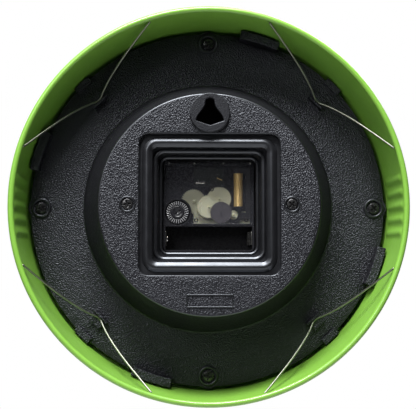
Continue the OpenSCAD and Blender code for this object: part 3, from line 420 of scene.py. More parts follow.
@dataclass(frozen=True)
class Finish:
    """A surface finish.

    Attributes:
        name: what a maker calls it.
        slot: the record's material slot; not used.
        base: main colour, linear.
        second: colour of its mottling, and of its outer edges as wear and painted edge highlight.
        rough: lowest and highest roughness.
        grain: kind of relief.
        grain_size: size of the relief's features, in millimetres.
        grain_depth: depth of the relief, in millimetres.
        metal: share of bare metal.
        coat: weight of a clear coat.
        alpha: opacity.
        wear: how strongly the outer edges take the second colour, as wear and, on the enamel and black
            plastics, as a painted edge highlight.
        bleed: weight of light that scatters under the surface.
        shine: strength of its reflections, 0.5 for common plastics.
        sheen_tint: painted colour of its reflections.
    """

    name: str
    slot: str
    base: Colour
    second: Colour
    rough: tuple[float, float] = (0.35, 0.5)
    grain: Grain = Grain.MOULDED
    grain_size: float = 0.5
    grain_depth: float = 0.01
    metal: float = 0.0
    coat: float = 0.0
    alpha: float = 1.0
    wear: float = 0.0
    bleed: float = 0.0
    shine: float = 0.5
    sheen_tint: Colour = (1.0, 1.0, 1.0)

    def material(self) -> bpy.types.Material:
        """Gives the finish's material, made on first use."""
        made = bpy.data.materials.get(self.name)
        return made or self.make(Recipe(self.name))

    def height(self, recipe: Recipe) -> bpy.types.NodeSocket:
        """Gives the relief's height from 0 to 1."""
        size = self.grain_size
        if self.grain is Grain.LEATHER:
            folds = recipe.cells(size, warp=0.9 * size)
            pores = recipe.noise(0.4 * size, 2)
            return recipe.combine("ADD", folds, recipe.combine("MULTIPLY", pores, 0.3))
        if self.grain is Grain.DRAWN:
            return recipe.noise(size, 2, (1, 1, 1))
        if self.grain is Grain.TURNED:
            wave = recipe.combine("MULTIPLY", recipe.radius(), FULL_TURN / size)
            rings = recipe.combine("SINE", wave, 0.0)
            return recipe.combine("ADD", recipe.combine("MULTIPLY", rings, 0.5), recipe.noise(0.6, 2))
        if self.grain is Grain.WOUND:
            return recipe.noise(size, 2, (1, 1, 8))
        return recipe.noise(size, 2 if self.grain is Grain.PEEL else 4)

    def make(self, recipe: Recipe) -> bpy.types.Material:
        """Builds the nodes.

        Args:
            recipe: an empty recipe with the finish's name.

        Returns:
            The finished material.
        """
        mottle = recipe.spread(recipe.noise(9, 5), 0, 1, 0.38, 0.72)
        fine = recipe.noise(max(1.2, self.grain_size), 4)
        share = recipe.combine("MULTIPLY", mottle, 0.35)
        # outer edges take the second colour: wear, and on the enamel and black plastics a painted edge
        # highlight
        if self.wear:
            edge_tone = recipe.combine("MULTIPLY", recipe.edges(0.52, 0.58), self.wear)
            share = recipe.combine("MAXIMUM", share, recipe.combine("MULTIPLY", edge_tone, fine))
        recipe.feed("Base Color", recipe.blend(share, self.base, self.second))
        recipe.feed("Roughness", recipe.spread(fine, *self.rough))
        recipe.relief(self.height(recipe), self.grain_depth)
        recipe.set(Metallic=self.metal, Coat_Weight=self.coat, Alpha=self.alpha, Coat_Roughness=0.12,
                   Specular_IOR_Level=self.shine, Specular_Tint=(*self.sheen_tint, 1))
        if self.bleed:
            recipe.set(Subsurface_Weight=self.bleed, Subsurface_Scale=0.8 * MM,
                       Subsurface_Radius=(1.0, 0.8, 0.5))
        return recipe.material


@dataclass(frozen=True)
class DialFinish(Finish):
    """Printed enamel of the dial: rings of colour round the clock's axis.

    Attributes:
        rings: inner radius in millimetres and colour of each ring, from the middle out.
    """

    rings: tuple[tuple[float, Colour], ...] = ()

    def make(self, recipe: Recipe) -> bpy.types.Material:
        """Builds the enamel and lays the rings over it."""
        material = super().make(recipe)
        colour = self.shader_colour(recipe)
        radius = recipe.radius()
        for inner, ring in self.rings:
            edge = recipe.spread(radius, 0, 1, inner - 0.08, inner + 0.08)
            colour = recipe.blend(edge, colour, ring)
        recipe.feed("Base Color", colour)
        return material

    def shader_colour(self, recipe: Recipe) -> bpy.types.NodeSocket:
        """Gives the source that feeds the base colour so far."""
        return recipe.shader.inputs["Base Color"].links[0].from_socket


@dataclass(frozen=True)
class ClearFinish(Finish):
    """Clear glass with faint surface marks."""

    def make(self, recipe: Recipe) -> bpy.types.Material:
        """Builds a transmitting shader with a very slight waviness."""
        recipe.set(Base_Color=(*self.base, 1), Transmission_Weight=1.0, IOR=1.46, Alpha=self.alpha)
        recipe.feed("Roughness", recipe.spread(recipe.noise(6, 4), *self.rough))
        recipe.relief(recipe.noise(self.grain_size, 1), self.grain_depth)
        return recipe.material


COOL = (0.86, 0.91, 1.0)    # painted tint: faint blue of a sky in the black plastics' reflections
ENAMEL = Finish("green_case_enamel", "case_enamel", (0.215, 0.46, 0.06), (0.25, 0.52, 0.08),
                rough=(0.3, 0.4), grain=Grain.PEEL, grain_size=2.4, grain_depth=0.012, coat=0.4, wear=0.25)
GRAINED = Finish("grained_cover_plastic", "cover_plastic", (0.0075, 0.0072, 0.0095), (0.018, 0.018, 0.022),
                 rough=(0.3, 0.42), grain=Grain.LEATHER, grain_size=0.85, grain_depth=0.46, wear=0.3,
                 shine=0.42, sheen_tint=COOL)
CONE = Finish("cup_side_plastic", "cover_plastic", (0.007, 0.007, 0.0085), (0.013, 0.013, 0.015),
              rough=(0.32, 0.44), grain=Grain.LEATHER, grain_size=1.3, grain_depth=0.14, wear=0.3,
              sheen_tint=COOL)
WELL = Finish("polished_well_plastic", "cover_plastic", (0.006, 0.006, 0.007), (0.012, 0.012, 0.014),
              rough=(0.32, 0.4), grain=Grain.PEEL, grain_size=6, grain_depth=0.01, shine=0.85,
              sheen_tint=COOL)
HANGER = Finish("moulded_hanger_plastic", "hanger_plastic", (0.008, 0.008, 0.0095), (0.02, 0.02, 0.023),
                rough=(0.36, 0.48), grain=Grain.LEATHER, grain_size=0.8, grain_depth=0.12, wear=0.3,
                sheen_tint=COOL)
SCREW = Finish("blackened_screw_steel", "screw_black", (0.035, 0.035, 0.037), (0.22, 0.22, 0.22),
               rough=(0.18, 0.36), metal=0.75, grain_size=0.4, grain_depth=0.012, wear=0.6)
SPRING = Finish("drawn_spring_steel", "spring_steel", (0.27, 0.28, 0.23), (0.17, 0.17, 0.15),
                rough=(0.36, 0.5), metal=1.0, grain=Grain.DRAWN, grain_size=0.9, grain_depth=0.015)
MOVEMENT = Finish("movement_case_plastic", "movement_black", (0.014, 0.014, 0.017), (0.028, 0.028, 0.032),
                  rough=(0.22, 0.34), grain_size=0.8, grain_depth=0.015, wear=0.35)
# light ridge crests on the black knob: a painted highlight
KNOB_HIGHLIGHT = Finish("knob_ridge_painted_highlight", "movement_black", (0.30, 0.30, 0.31), (0.45, 0.45, 0.46),
                  rough=(0.18, 0.3), grain_size=0.8, grain_depth=0.01, coat=0.5)
SMOKE = Finish("smoked_clear_plastic", "movement_smoke", (0.07, 0.072, 0.086), (0.1, 0.1, 0.115),
               rough=(0.1, 0.2), grain=Grain.PEEL, grain_size=4, grain_depth=0.012, alpha=0.17, coat=0.25)
# light grey clips on the smoked cover: painted glints
CLIP_GLINT = Finish("clip_painted_glint", "movement_smoke", (0.35, 0.35, 0.33), (0.5, 0.5, 0.48),
              rough=(0.1, 0.2), grain_size=0.6, grain_depth=0.01, coat=0.6)
CREAM = Finish("cream_gear_plastic", "gear_cream", (0.86, 0.85, 0.62), (0.78, 0.77, 0.54),
               rough=(0.3, 0.42), grain_size=0.6, grain_depth=0.01, bleed=0.25, wear=0.2)
DARK_GEAR = Finish("dark_gear_plastic", "gear_dark", (0.075, 0.068, 0.078), (0.13, 0.12, 0.13),
                   rough=(0.3, 0.45), grain_size=0.6, grain_depth=0.01, wear=0.5)
BRASS = Finish("turned_brass", "bare_brass", (0.72, 0.50, 0.19), (0.50, 0.33, 0.12),
               rough=(0.2, 0.34), metal=1.0, grain=Grain.TURNED, grain_size=0.3, grain_depth=0.01, wear=0.3)
COPPER = Finish("enamelled_copper_wire", "copper_wire", (0.90, 0.60, 0.20), (0.97, 0.76, 0.36),
                rough=(0.34, 0.46), metal=0.4, grain=Grain.WOUND, grain_size=0.3, grain_depth=0.02, coat=0.4)
# very dark steel: painted shade that keeps the stator and core dim under the smoked cover
CORE_STEEL = Finish("stamped_core_steel_painted_shade", "core_steel", (0.09, 0.09, 0.09), (0.05, 0.05, 0.05),
                    rough=(0.3, 0.46), metal=1.0, grain_size=0.5, grain_depth=0.012, wear=0.4)
NICKEL = Finish("nickel_plated_steel", "contact_steel", (0.66, 0.65, 0.62), (0.44, 0.42, 0.39),
                rough=(0.16, 0.3), metal=1.0, grain_size=0.6, grain_depth=0.01, wear=0.3)
BOARD = Finish("lacquered_board", "board_laminate", (0.012, 0.016, 0.012), (0.02, 0.028, 0.02),
               rough=(0.25, 0.4), grain_size=0.5, grain_depth=0.012, coat=0.3)
RUBBER = Finish("moulded_gasket_rubber", "gasket_rubber", (0.012, 0.012, 0.012), (0.03, 0.03, 0.03),
                rough=(0.6, 0.8), grain_size=0.6, grain_depth=0.03)
SPACER = Finish("moulded_spacer_plastic", "spacer_plastic", (0.016, 0.016, 0.017), (0.03, 0.03, 0.032),
                rough=(0.38, 0.52), grain_size=0.8, grain_depth=0.02)
GLASS = ClearFinish("clear_front_glass", "lens_glass", (0.97, 0.99, 0.985), (1, 1, 1),
                    rough=(0.0, 0.02), grain_size=60, grain_depth=0.01)
INK = Finish("black_dial_ink", "dial_ink", (0.012, 0.012, 0.012), (0.03, 0.03, 0.03),
             rough=(0.35, 0.5), grain_size=0.5, grain_depth=0.01)
GREEN_INK = Finish("green_dial_ink", "dial_ink", (0.10, 0.33, 0.03), (0.14, 0.4, 0.05),
                   rough=(0.35, 0.5), grain_size=0.5, grain_depth=0.01)
DIAL = DialFinish("enamelled_dial", "dial_enamel", (0.80, 0.77, 0.62), (0.72, 0.68, 0.52),
                  rough=(0.24, 0.36), grain=Grain.PEEL, grain_size=3, grain_depth=0.012, coat=0.2,
                  rings=((50.0, (0.10, 0.33, 0.03)), (51.2, (0.80, 0.77, 0.62)), (96.2, (0.10, 0.33, 0.03))))
HAND_BLACK = Finish("black_hand_lacquer", "hand_black", (0.012, 0.012, 0.013), (0.03, 0.03, 0.03),
                    rough=(0.22, 0.32), grain=Grain.PEEL, grain_size=2, grain_depth=0.008, coat=0.3)
HAND_RED = Finish("red_hand_lacquer", "hand_red", (0.50, 0.018, 0.012), (0.6, 0.04, 0.02),
                  rough=(0.22, 0.32), grain=Grain.PEEL, grain_size=2, grain_depth=0.008, coat=0.3)


def mount(piece: bpy.types.Object, body: str, finish: Finish, *nodes: str) -> bpy.types.Object:
    """Makes a piece ride on a body and stand for its CAD nodes.

    Args:
        piece: the new object.
        body: the CAD body that it moves with.
        finish: not used.
        *nodes: the CAD nodes that it replaces.

    Returns:
        The same object.
    """
    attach(piece, body)
    if nodes:
        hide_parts(*nodes)
    log.info("%s rides on %s and stands for %s", piece.name, body, ", ".join(nodes) or "no node")
    return piece


def refined(node: str, finish: Finish, body: str, width: float = 0.12, steps: int = 2,
            behind: float | None = None) -> bpy.types.Object:
    """Makes a softened copy of a CAD node's mesh and puts it in the node's place.

    Args:
        node: the CAD node.
        finish: its finish.
        body: the CAD body that it moves with.
        width: width of the rounds on its edges, in millimetres.
        steps: number of faces across each round.
        behind: depth in millimetres; what lies nearer the wall is left to another piece.

    Returns:
        The new object.
    """
    mesh = frame["nodes"][node].data.copy()
    mesh.materials.clear()
    mesh.materials.append(finish.material())
    tidy = bmesh.new()
    tidy.from_mesh(mesh)
    bmesh.ops.remove_doubles(tidy, verts=tidy.verts, dist=SAME_POINT)
    bmesh.ops.dissolve_limit(tidy, angle_limit=math.radians(SAME_FACE), verts=tidy.verts, edges=tidy.edges)
    if behind is not None:
        everything = tidy.verts[:] + tidy.edges[:] + tidy.faces[:]
        cut = bmesh.ops.bisect_plane(tidy, geom=everything, plane_co=SPACE.at(0, 0, behind),
                                     plane_no=(0, 1, 0), clear_outer=True)["geom_cut"]
        bmesh.ops.holes_fill(tidy, edges=[part for part in cut if isinstance(part, bmesh.types.BMEdge)])
    for face in tidy.faces:
        face.material_index = 0
    tidy.to_mesh(mesh)
    tidy.free()
    piece = show(node + "_shown", mesh)
    if width:
        soften(piece, width, steps)
    return mount(piece, body, finish, node)


# ---------------------------------------------------------------- case ring


@dataclass
class CaseRing:
    """Pressed metal ring with a rolled rear lip, a rounded front edge and ribbed grips.

    Attributes:
        wall: thickness of the wall.
        lip: radius of the rolled lip.
        draft: angle at which the wall closes in towards the front, in degrees.
        bezel: radius of the rounded front edge.
        front_lip: how far the opening lies inside the centre of the rounded edge.
        seat: thickness of the case behind its opening.
        ribs: number of ribs in each grip.
        rib_pitch: distance from rib to rib.
        rib_width: width of a rib.
        rib_height: height of a rib.
        rib_fade: depths between which the ribs rise at the rear and die away at the front.
        steps: number of faces round the ring.
        radius: outer radius of the ring.
        front: depth of its front edge.
    """

    wall: float = 1.8
    lip: float = 1.8
    draft: float = 6.0
    bezel: float = 14.5
    front_lip: float = 1.55
    seat: float = 2.6
    ribs: int = 5
    rib_pitch: float = 8.5
    rib_width: float = 7.6
    rib_height: float = 1.0
    rib_fade: tuple[float, float, float, float] = (4.2, 6.5, 32, 35)
    steps: int = 720
    radius: float = field(default_factory=lambda: SPACE.half_width("case_ring"))
    front: float = field(default_factory=lambda: SPACE.depths("case_ring")[1])

    def profile(self) -> tuple[Profile, int]:
        """Gives the ring's section and the number of its first inner wall point."""
        lean = math.radians(self.draft)
        normal = (math.cos(lean), math.sin(lean))
        along = (-math.sin(lean), math.cos(lean))
        start = self.radius - self.lip + self.wall / 2
        bezel_z = self.front - self.bezel
        bezel_c = start - (self.bezel + normal[1] * (bezel_z - self.lip)) / normal[0]
        inner_r = self.bezel - self.wall
        seat_z = self.front - self.seat
        rise = math.sqrt(self.lip ** 2 - (self.wall / 2) ** 2)
        outer_join = (start + rise * along[0], self.lip + rise * along[1])
        inner_join = (outer_join[0] - self.wall * normal[0], outer_join[1] - self.wall * normal[1])
        bezel = arc((bezel_c, bezel_z), self.bezel, self.draft, 90, 20)
        opening = bezel_c - self.front_lip
        edge = arc((opening + self.seat / 2, self.front - self.seat / 2), self.seat / 2, 90, 270, 10)
        seat_angle = math.degrees(math.asin((seat_z - bezel_z) / inner_r))
        inner = arc((bezel_c, bezel_z), inner_r, seat_angle, self.draft, 12)
        wall = [(inner[-1][0] + (inner_join[0] - inner[-1][0]) * i / 24,
                 inner[-1][1] + (inner_join[1] - inner[-1][1]) * i / 24) for i in range(1, 24)]
        middle = (self.radius - self.lip, self.lip)
        first = math.degrees(math.atan2(inner_join[1] - middle[1], inner_join[0] - middle[0]))
        last = 360 + math.degrees(math.atan2(outer_join[1] - middle[1], outer_join[0] - middle[0]))
        lip = arc(middle, self.lip, first, last, 26)
        section = bezel + edge + inner + wall + lip
        return section, len(bezel + edge + inner)

    def rib_lift(self, angle: float, depth: float) -> float:
        """Gives how far the inner wall stands in at an angle in radians and a depth."""
        near = (angle + math.pi) % FULL_TURN - math.pi
        near = near if abs(near) < math.pi / 2 else (angle % FULL_TURN) - math.pi
        reach = near * self.radius / self.rib_pitch + (self.ribs - 1) / 2
        nearest = min(self.ribs - 1, max(0, round(reach)))
        off = abs(reach - nearest) * self.rib_pitch / (self.rib_width / 2)
        ends = smooth_step(*self.rib_fade[:2], depth) * (1 - smooth_step(*self.rib_fade[2:], depth))
        return self.rib_height * ends * (0.5 + 0.5 * math.cos(math.pi * min(1.0, off)))

    def build(self) -> None:
        """Builds the ring and puts it in place of its CAD node."""
        section, wall_from = self.profile()
        rings = []
        for number, (r, z) in enumerate(section):
            ribbed = wall_from <= number < wall_from + 23
            angles = (FULL_TURN * i / self.steps for i in range(self.steps))
            rings.append([SPACE.polar(r - (self.rib_lift(a, z) if ribbed else 0), a, z) for a in angles])
        shell = Shell()
        shell.loft(rings, looped=True)
        mount(shell.build("case_ring_shell", [ENAMEL], 50), "case", ENAMEL, "case_ring")


# ---------------------------------------------------------------- back cover


@dataclass
class BackCover:
    """Moulded cover: grained flange and cup, and a polished stepped well.

    Attributes:
        plateau_r: radius of the cup's flat rear face.
        cone_r: radius of the cup where it meets the flange.
        skin: thickness of the cup.
        flange_t: thickness of the flange.
        mouth: half the width of the well's mouth.
        mouth_corner: corner radius of the mouth.
        ridges: half width, radius and corner of each moulded ridge, from the outside in.
        ledges: drop of each ridge's middle below the rear face.
        ear_out: how far the middle of a screw's ear lies beyond the screw.
        ear_r: radius of an ear.
        block_dirs: directions of the centring blocks, in degrees.
        block_width: angle that a centring block covers, in degrees.
        lug_width: angle that the lug beside a spring wire covers, in degrees.
        label_y: height of the middle of the blank label frame.
        label_half: half the width and height of the frame.
        label_line: width of its line.
        label_rise: how far the frame stands off the rear face.
        steps: number of faces round the axis.
    """

    plateau_r: float = 67.6
    cone_r: float = 77.4
    skin: float = 2.2
    flange_t: float = 2.5
    mouth: float = 42.5
    mouth_corner: float = 6.0
    ridges: tuple[tuple[float, float, float], ...] = ((37.7, 3.1, 6.2), (33.0, 1.4, 5.8), (29.65, 0.9, 4.7))
    ledges: tuple[float, ...] = (3.6, 7.8, 13.2)
    ear_out: float = 1.3
    ear_r: float = 7.0
    block_dirs: tuple[float, ...] = (18.5, 107.0, 199.5, 288.5)
    block_width: float = 13
    lug_width: float = 6
    label_y: float = -57.8
    label_half: tuple[float, float] = (14.0, 4.0)
    label_line: float = 0.8
    label_rise: float = 0.7
    steps: int = 720

    def __post_init__(self) -> None:
        """Reads the depths and radii that the frame gives."""
        self.front = SPACE.depths("back_cover")[1]
        self.flange_z = self.front - self.flange_t
        self.plateau_z = SPACE.depths("wall_hanger")[1] - self.skin
        self.skirt_z = SPACE.depths("movement_case")[0] + 2
        self.flange_r = SCREW_R + FLANGE_OUT
        self.skirt = self.ridges[-1][0] - self.ridges[-1][1]

    def square_radius(self, half: float, corner: float, angle: float) -> float:
        """Gives how far a rounded square reaches from the axis at an angle in radians."""
        c, s = abs(math.cos(angle)), abs(math.sin(angle))
        edge = half / max(c, s)
        inner = half - corner
        if min(c, s) * edge <= inner:
            return edge
        dot = inner * (c + s)
        return dot + math.sqrt(max(0.0, dot ** 2 - 2 * inner ** 2 + corner ** 2))

    def edge_radius(self, angle: float) -> float:
        """Gives the flange's outer radius at an angle, with an ear at each screw."""
        turn = (angle + math.pi / 4) % (math.pi / 2) - math.pi / 4
        ear_at = SCREW_R + self.ear_out
        inside = self.ear_r ** 2 - (ear_at * math.sin(turn)) ** 2
        ear = ear_at * math.cos(turn) + math.sqrt(inside) if inside > 0 else 0.0
        return max(self.flange_r, ear)

    def square_ring(self, half: float, corner: float, depth: float) -> list[Point]:
        """Gives the points of a rounded square at a depth."""
        angles = (FULL_TURN * i / self.steps for i in range(self.steps))
        return [SPACE.polar(self.square_radius(half, corner, a), a, depth) for a in angles]

    def round_ring(self, radius: float, depth: float) -> list[Point]:
        """Gives the points of a circle at a depth."""
        return SPACE.circle(radius, depth, self.steps)

    def edge_ring(self, inset: float, depth: float) -> list[Point]:
        """Gives the points of the flange's edge, moved in by an inset, at a depth."""
        angles = (FULL_TURN * i / self.steps for i in range(self.steps))
        return [SPACE.polar(self.edge_radius(a) - inset, a, depth) for a in angles]

    def well_rings(self) -> list[list[Point]]:
        """Gives the rings of the well from its mouth down to the end of its skirt."""
        top = self.plateau_z
        rings = [self.square_ring(self.mouth + 0.9, self.mouth_corner + 0.9, top)]
        for out, drop in ((0.45, 0.12), (0.12, 0.45), (0.0, 0.9)):
            rings.append(self.square_ring(self.mouth + out, self.mouth_corner + out, top + drop))
        for (half, radius, corner), drop in zip(self.ridges, self.ledges):
            foot = top + drop
            if half == self.ridges[0][0]:
                rings.append(self.square_ring(self.mouth, self.mouth_corner, foot))
            for r, z in self.ridge(half, radius, foot):
                rings.append(self.square_ring(r, corner + r - half, z))
        rings.append(self.square_ring(self.skirt, self.ridges[-1][2] - self.ridges[-1][1], self.skirt_z))
        return rings

    def ridge(self, half: float, radius: float, foot: float) -> Profile:
        """Gives the section of a moulded ridge, from its outer foot to its inner one."""
        flank = [(1, 0), (1, 0.06), (0.98, 0.12), (0.93, 0.175), (0.86, 0.225), (0.6, 0.4), (0.34, 0.55),
                 (0.22, 0.6), (0.1, 0.632)]
        section = flank + [(0, 0.64)] + [(-u, h) for u, h in reversed(flank)]
        return [(half + u * radius, foot - h * radius) for u, h in section]

    def blend_rings(self, inner: list[Point], outer: list[Point], count: int) -> list[list[Point]]:
        """Gives rings spread evenly between two others, without the two."""
        pairs = list(zip(inner, outer))
        shares = [i / (count + 1) for i in range(1, count + 1)]
        return [[tuple(Vector(a).lerp(Vector(b), share)) for a, b in pairs] for share in shares]

    def cup_rings(self) -> list[list[Point]]:
        """Gives the rings from the cup's rear face out over the flange and back inside."""
        slope = math.degrees(math.atan((self.cone_r - self.plateau_r) / (self.flange_z - self.plateau_z)))
        shoulder = arc((self.plateau_r - 1.4, self.plateau_z + 1.4), 1.4, 270, 360 - slope, 7)
        foot = arc((self.cone_r + 2, self.flange_z - 2), 2, 180 - slope, 90, 7)
        side = [(shoulder[-1][0] + (foot[0][0] - shoulder[-1][0]) * i / 8,
                 shoulder[-1][1] + (foot[0][1] - shoulder[-1][1]) * i / 8) for i in range(1, 8)]
        rings = [self.round_ring(r, z) for r, z in shoulder + side + foot]
        rings += [self.round_ring(r, self.flange_z) for r in (88.0, 98.0, SCREW_R - 1)]
        for inset, depth in ((0.7, 0.0), (0.2, 0.2), (0.0, 0.7)):
            rings.append(self.edge_ring(inset, self.flange_z + depth))
        rings.append(self.edge_ring(0.0, self.front - 0.4))
        rings.append(self.edge_ring(0.4, self.front))
        rings.append(self.round_ring(self.cone_r - self.skin, self.front))
        rings.append(self.round_ring(self.cone_r - self.skin, self.flange_z))
        rings.append(self.round_ring(self.plateau_r - self.skin, self.plateau_z + self.skin))
        wall, skirt_corner = 1.6, 5.4
        for depth in (self.plateau_z + self.skin, self.plateau_z + self.ledges[0] + wall):
            rings.append(self.square_ring(self.mouth + wall, self.mouth_corner + wall, depth))
        for depth in (self.skirt_z - 4, self.skirt_z):
            rings.append(self.square_ring(self.skirt + wall, skirt_corner, depth))
        return rings

    def skin_piece(self) -> bpy.types.Object:
        """Builds the cover's skin with its screw and hanger holes cut through."""
        well = self.well_rings()
        cup = self.cup_rings()
        face = self.blend_rings(well[0], cup[0], 5)
        rings = well[::-1] + face + cup
        well_count = len(well)
        cone_from = well_count + len(face) + 7
        cone_to = cone_from + 12

        def mark(i: int) -> int:
            """Gives the finish of the strip after ring i: well, grained or cup side."""
            if i < well_count - 2 or cone_from - 7 <= i < cone_from:
                return 1
            return 2 if cone_from <= i < cone_to else 0

        shell = Shell()
        shell.loft(rings, mark, looped=True)
        piece = shell.build("back_cover_skin", [GRAINED, WELL, CONE], 45)
        cutter = Shell()
        hanger_y = SPACE.centre("wall_hanger")[1]
        for x, y, radius, below in ((-CUP_SCREW_X, 0, 3.6, 1.2), (CUP_SCREW_X, 0, 3.6, 1.2),
                                    (0, hanger_y, 10.85, 9)):
            start, end = -3, self.plateau_z + below
            cutter.lathe([(0.01, start), (radius, start), (radius, end), (0.01, end)], 72, (x, y))
        cut = cutter.build("cover_hole_cutter", [WELL])
        hole = piece.modifiers.new("holes", "BOOLEAN")
        hole.object = cut
        hole.operation = "DIFFERENCE"
        hole.solver = "EXACT"
        apply_modifiers(piece)
        piece.data.shade_smooth()
        piece.data.set_sharp_from_angle(angle=math.radians(45))
        bpy.data.objects.remove(cut)
        return piece

    def arc_block(self, shell: Shell, inner: float, outer: float, direction: float, width: float,
                  rear: float, front: float) -> None:
        """Adds a block that follows the flange's edge.

        Args:
            shell: the mesh that takes it.
            inner: inner radius.
            outer: outer radius.
            direction: direction of its middle, in degrees.
            width: angle that it covers, in degrees.
            rear: depth of its rear face.
            front: depth of its front face.
        """
        parts = max(2, round(width))
        angles = [math.radians(direction - width / 2 + width * i / parts) for i in range(parts + 1)]
        corners = ((inner, rear), (outer, rear), (outer, front), (inner, front))
        shell.loft([[SPACE.polar(r, a, z) for r, z in corners] for a in angles], capped=True)

    def turned_block(self, shell: Shell, near: float, far: float, half: float, direction: float,
                     rear: float, front: float) -> None:
        """Adds a straight block between two distances from the axis."""
        turn = math.radians(direction)
        along = (math.cos(turn), math.sin(turn))

        def corner(r: float, side: float, z: float) -> Point:
            """Gives one corner of the block."""
            return SPACE.at(r * along[0] - side * along[1], r * along[1] + side * along[0], z)

        flat = ((near, -half), (far, -half), (far, half), (near, half))
        shell.block([corner(r, side, z) for z in (rear, front) for r, side in flat])

    def build_blocks(self) -> None:
        """Builds the centring blocks, and the lug, saddle and stop of each spring wire."""
        shell = Shell()
        edge, rear = self.flange_r, self.flange_z
        bend = edge - BEND_IN
        buried = rear + 1.2
        front = self.front - 0.3
        for direction in self.block_dirs:
            self.arc_block(shell, edge - 3.3, edge + 2.3, direction, self.block_width, rear - 9, front)
        for direction in WIRE_DIRS:
            self.arc_block(shell, edge - 2.7, edge + 1.8, direction, self.lug_width, rear - 1.5, front)
            self.turned_block(shell, bend - 0.6, bend + 5.2, 4.5, direction, rear - 2.4, buried)
            self.turned_block(shell, bend - 2.22, bend - 0.62, 5.8, direction, rear - 4.6, buried)
        piece = soften(shell.build("cover_blocks", [GRAINED]), 0.5, 3)
        mount(piece, "case", GRAINED)

    def build_label_frame(self) -> None:
        """Builds the blank raised frame below the well."""
        shell = Shell()
        outer = self.label_half
        inner = (outer[0] - self.label_line, outer[1] - self.label_line)
        buried, top = 1.0, -self.label_rise
        rings = []
        for (w, h), z in ((outer, buried), (outer, top), (inner, top), (inner, buried)):
            rings.append([SPACE.at(x * w, self.label_y + y * h, self.plateau_z + z)
                          for x, y in ((-1, -1), (1, -1), (1, 1), (-1, 1))])
        shell.loft(rings, looped=True)
        mount(soften(shell.build("blank_label_frame", [WELL]), 0.3, 3), "case", WELL)

    def build_rings(self) -> None:
        """Builds the raised ring round each screw."""
        shell = Shell()
        z = self.flange_z
        ring = [(6.4, z + 0.5), (6.2, z - 0.7)] + arc((5.3, z - 0.65), 0.75, 0, -180, 8)[1:]
        for turn in range(4):
            a = math.radians(90 * turn)
            shell.lathe(ring + [(4.4, z + 0.5)], 64, (SCREW_R * math.cos(a), SCREW_R * math.sin(a)))
        z = self.plateau_z
        ring = [(5.3, z + 0.4), (5.0, z - 0.2)] + arc((4.4, z - 0.15), 0.55, 0, -180, 8)[1:]
        for side in (-1, 1):
            shell.lathe(ring + [(3.62, z + 0.4)], 64, (side * CUP_SCREW_X, 0))
        mount(shell.build("screw_rings", [WELL], 60), "case", WELL)

    def build(self) -> None:
        """Builds the whole cover and puts it in place of its CAD node."""
        mount(self.skin_piece(), "case", GRAINED, "back_cover")
        self.build_blocks()
        self.build_label_frame()
        self.build_rings()
        refined("wall_hanger", HANGER, "case", 0.55, 4)


# ---------------------------------------------------------------- screws and spring wires


@dataclass
class PanScrew:
    """Pan-head screw with a cross recess.

    Attributes:
        head_r: radius of the head.
        head_h: height of the head.
        shank_r: radius of the shank.
        length: length of the shank.
        recess_r: reach of the cross recess from the middle.
        recess_w: half the width of a recess slot.
        recess_h: depth of the recess.
    """

    head_r: float
    head_h: float
    length: float
    shank_r: float = 1.45
    recess_r: float = 2.1
    recess_w: float = 0.48
    recess_h: float = 1.1

    def rise(self, x: float, y: float) -> float:
        """Gives the head's height at a place on it."""
        share = min(1.0, math.hypot(x, y) / self.head_r)
        dome = self.head_h * (1 - 0.25 * share ** 2)
        one_slot = max(abs(x) / self.recess_w, abs(y) / self.recess_r)
        near = min(one_slot, max(abs(y) / self.recess_w, abs(x) / self.recess_r))
        return dome - self.recess_h * (1 - smooth_step(0.85, 1.15, near))

    def add_to(self, shell: Shell, x: float, y: float, seat: float, turn: float) -> None:
        """Adds the screw to a mesh.

        Args:
            shell: the mesh that takes it.
            x: sideways place of its axis.
            y: height of its axis.
            seat: depth of the face under its head.
            turn: turn of its recess, in radians.
        """
        steps = 64
        shares = (0.02, 0.1, 0.16, 0.22, 0.28, 0.34, 0.4, 0.46, 0.52, 0.58, 0.64, 0.7, 0.78, 0.86)
        angles = [FULL_TURN * i / steps for i in range(steps)]
        rings = []
        for share in shares:
            r = self.head_r * share
            spots = [(r * math.cos(a), r * math.sin(a)) for a in angles]
            rings.append([SPACE.at(x + u, y + v, seat - self.rise(*self.turned(u, v, turn)))
                          for u, v in spots])
        soft, tip = 0.7, 1.4
        side = arc((self.head_r - soft, seat - self.head_h * 0.8 + soft), soft, -70, 0, 5)
        side += [(self.head_r, seat), (self.shank_r, seat), (self.shank_r, seat + self.length - tip),
                 (0.2, seat + self.length)]
        rings += [SPACE.circle(r, z, steps, (x, y)) for r, z in side]
        shell.loft(rings, capped=True)

    @staticmethod
    def turned(x: float, y: float, turn: float) -> tuple[float, float]:
        """Turns a place about the screw's axis."""
        return x * math.cos(turn) - y * math.sin(turn), x * math.sin(turn) + y * math.cos(turn)


@dataclass
class Fasteners:
    """The screws of the flange and of the cup.

    Attributes:
        flange_screw: a flange screw.
        cup_screw: a cup screw.
        turns: turn of each screw's recess, in degrees.
    """

    flange_screw: PanScrew = field(default_factory=lambda: PanScrew(3.5, 2.2, 10))
    cup_screw: PanScrew = field(default_factory=lambda: PanScrew(3.3, 2.0, 12))
    turns: tuple[float, ...] = (20, 65, 38, 80, 12, 50)

    def build(self) -> None:
        """Builds both groups in place of their CAD nodes."""
        for node, screw, spots, first in (
                ("flange_screws", self.flange_screw, [(SCREW_R, 90 * i) for i in range(4)], 0),
                ("cup_screws", self.cup_screw, [(CUP_SCREW_X, 0), (CUP_SCREW_X, 180)], 4)):
            shell = Shell()
            seat = SPACE.depths(node)[1] - screw.length
            for number, (r, direction) in enumerate(spots):
                a = math.radians(direction)
                turn = math.radians(self.turns[first + number])
                screw.add_to(shell, r * math.cos(a), r * math.sin(a), seat, turn)
            mount(shell.build(node + "_shown", [SCREW], 50), "case", SCREW, node)


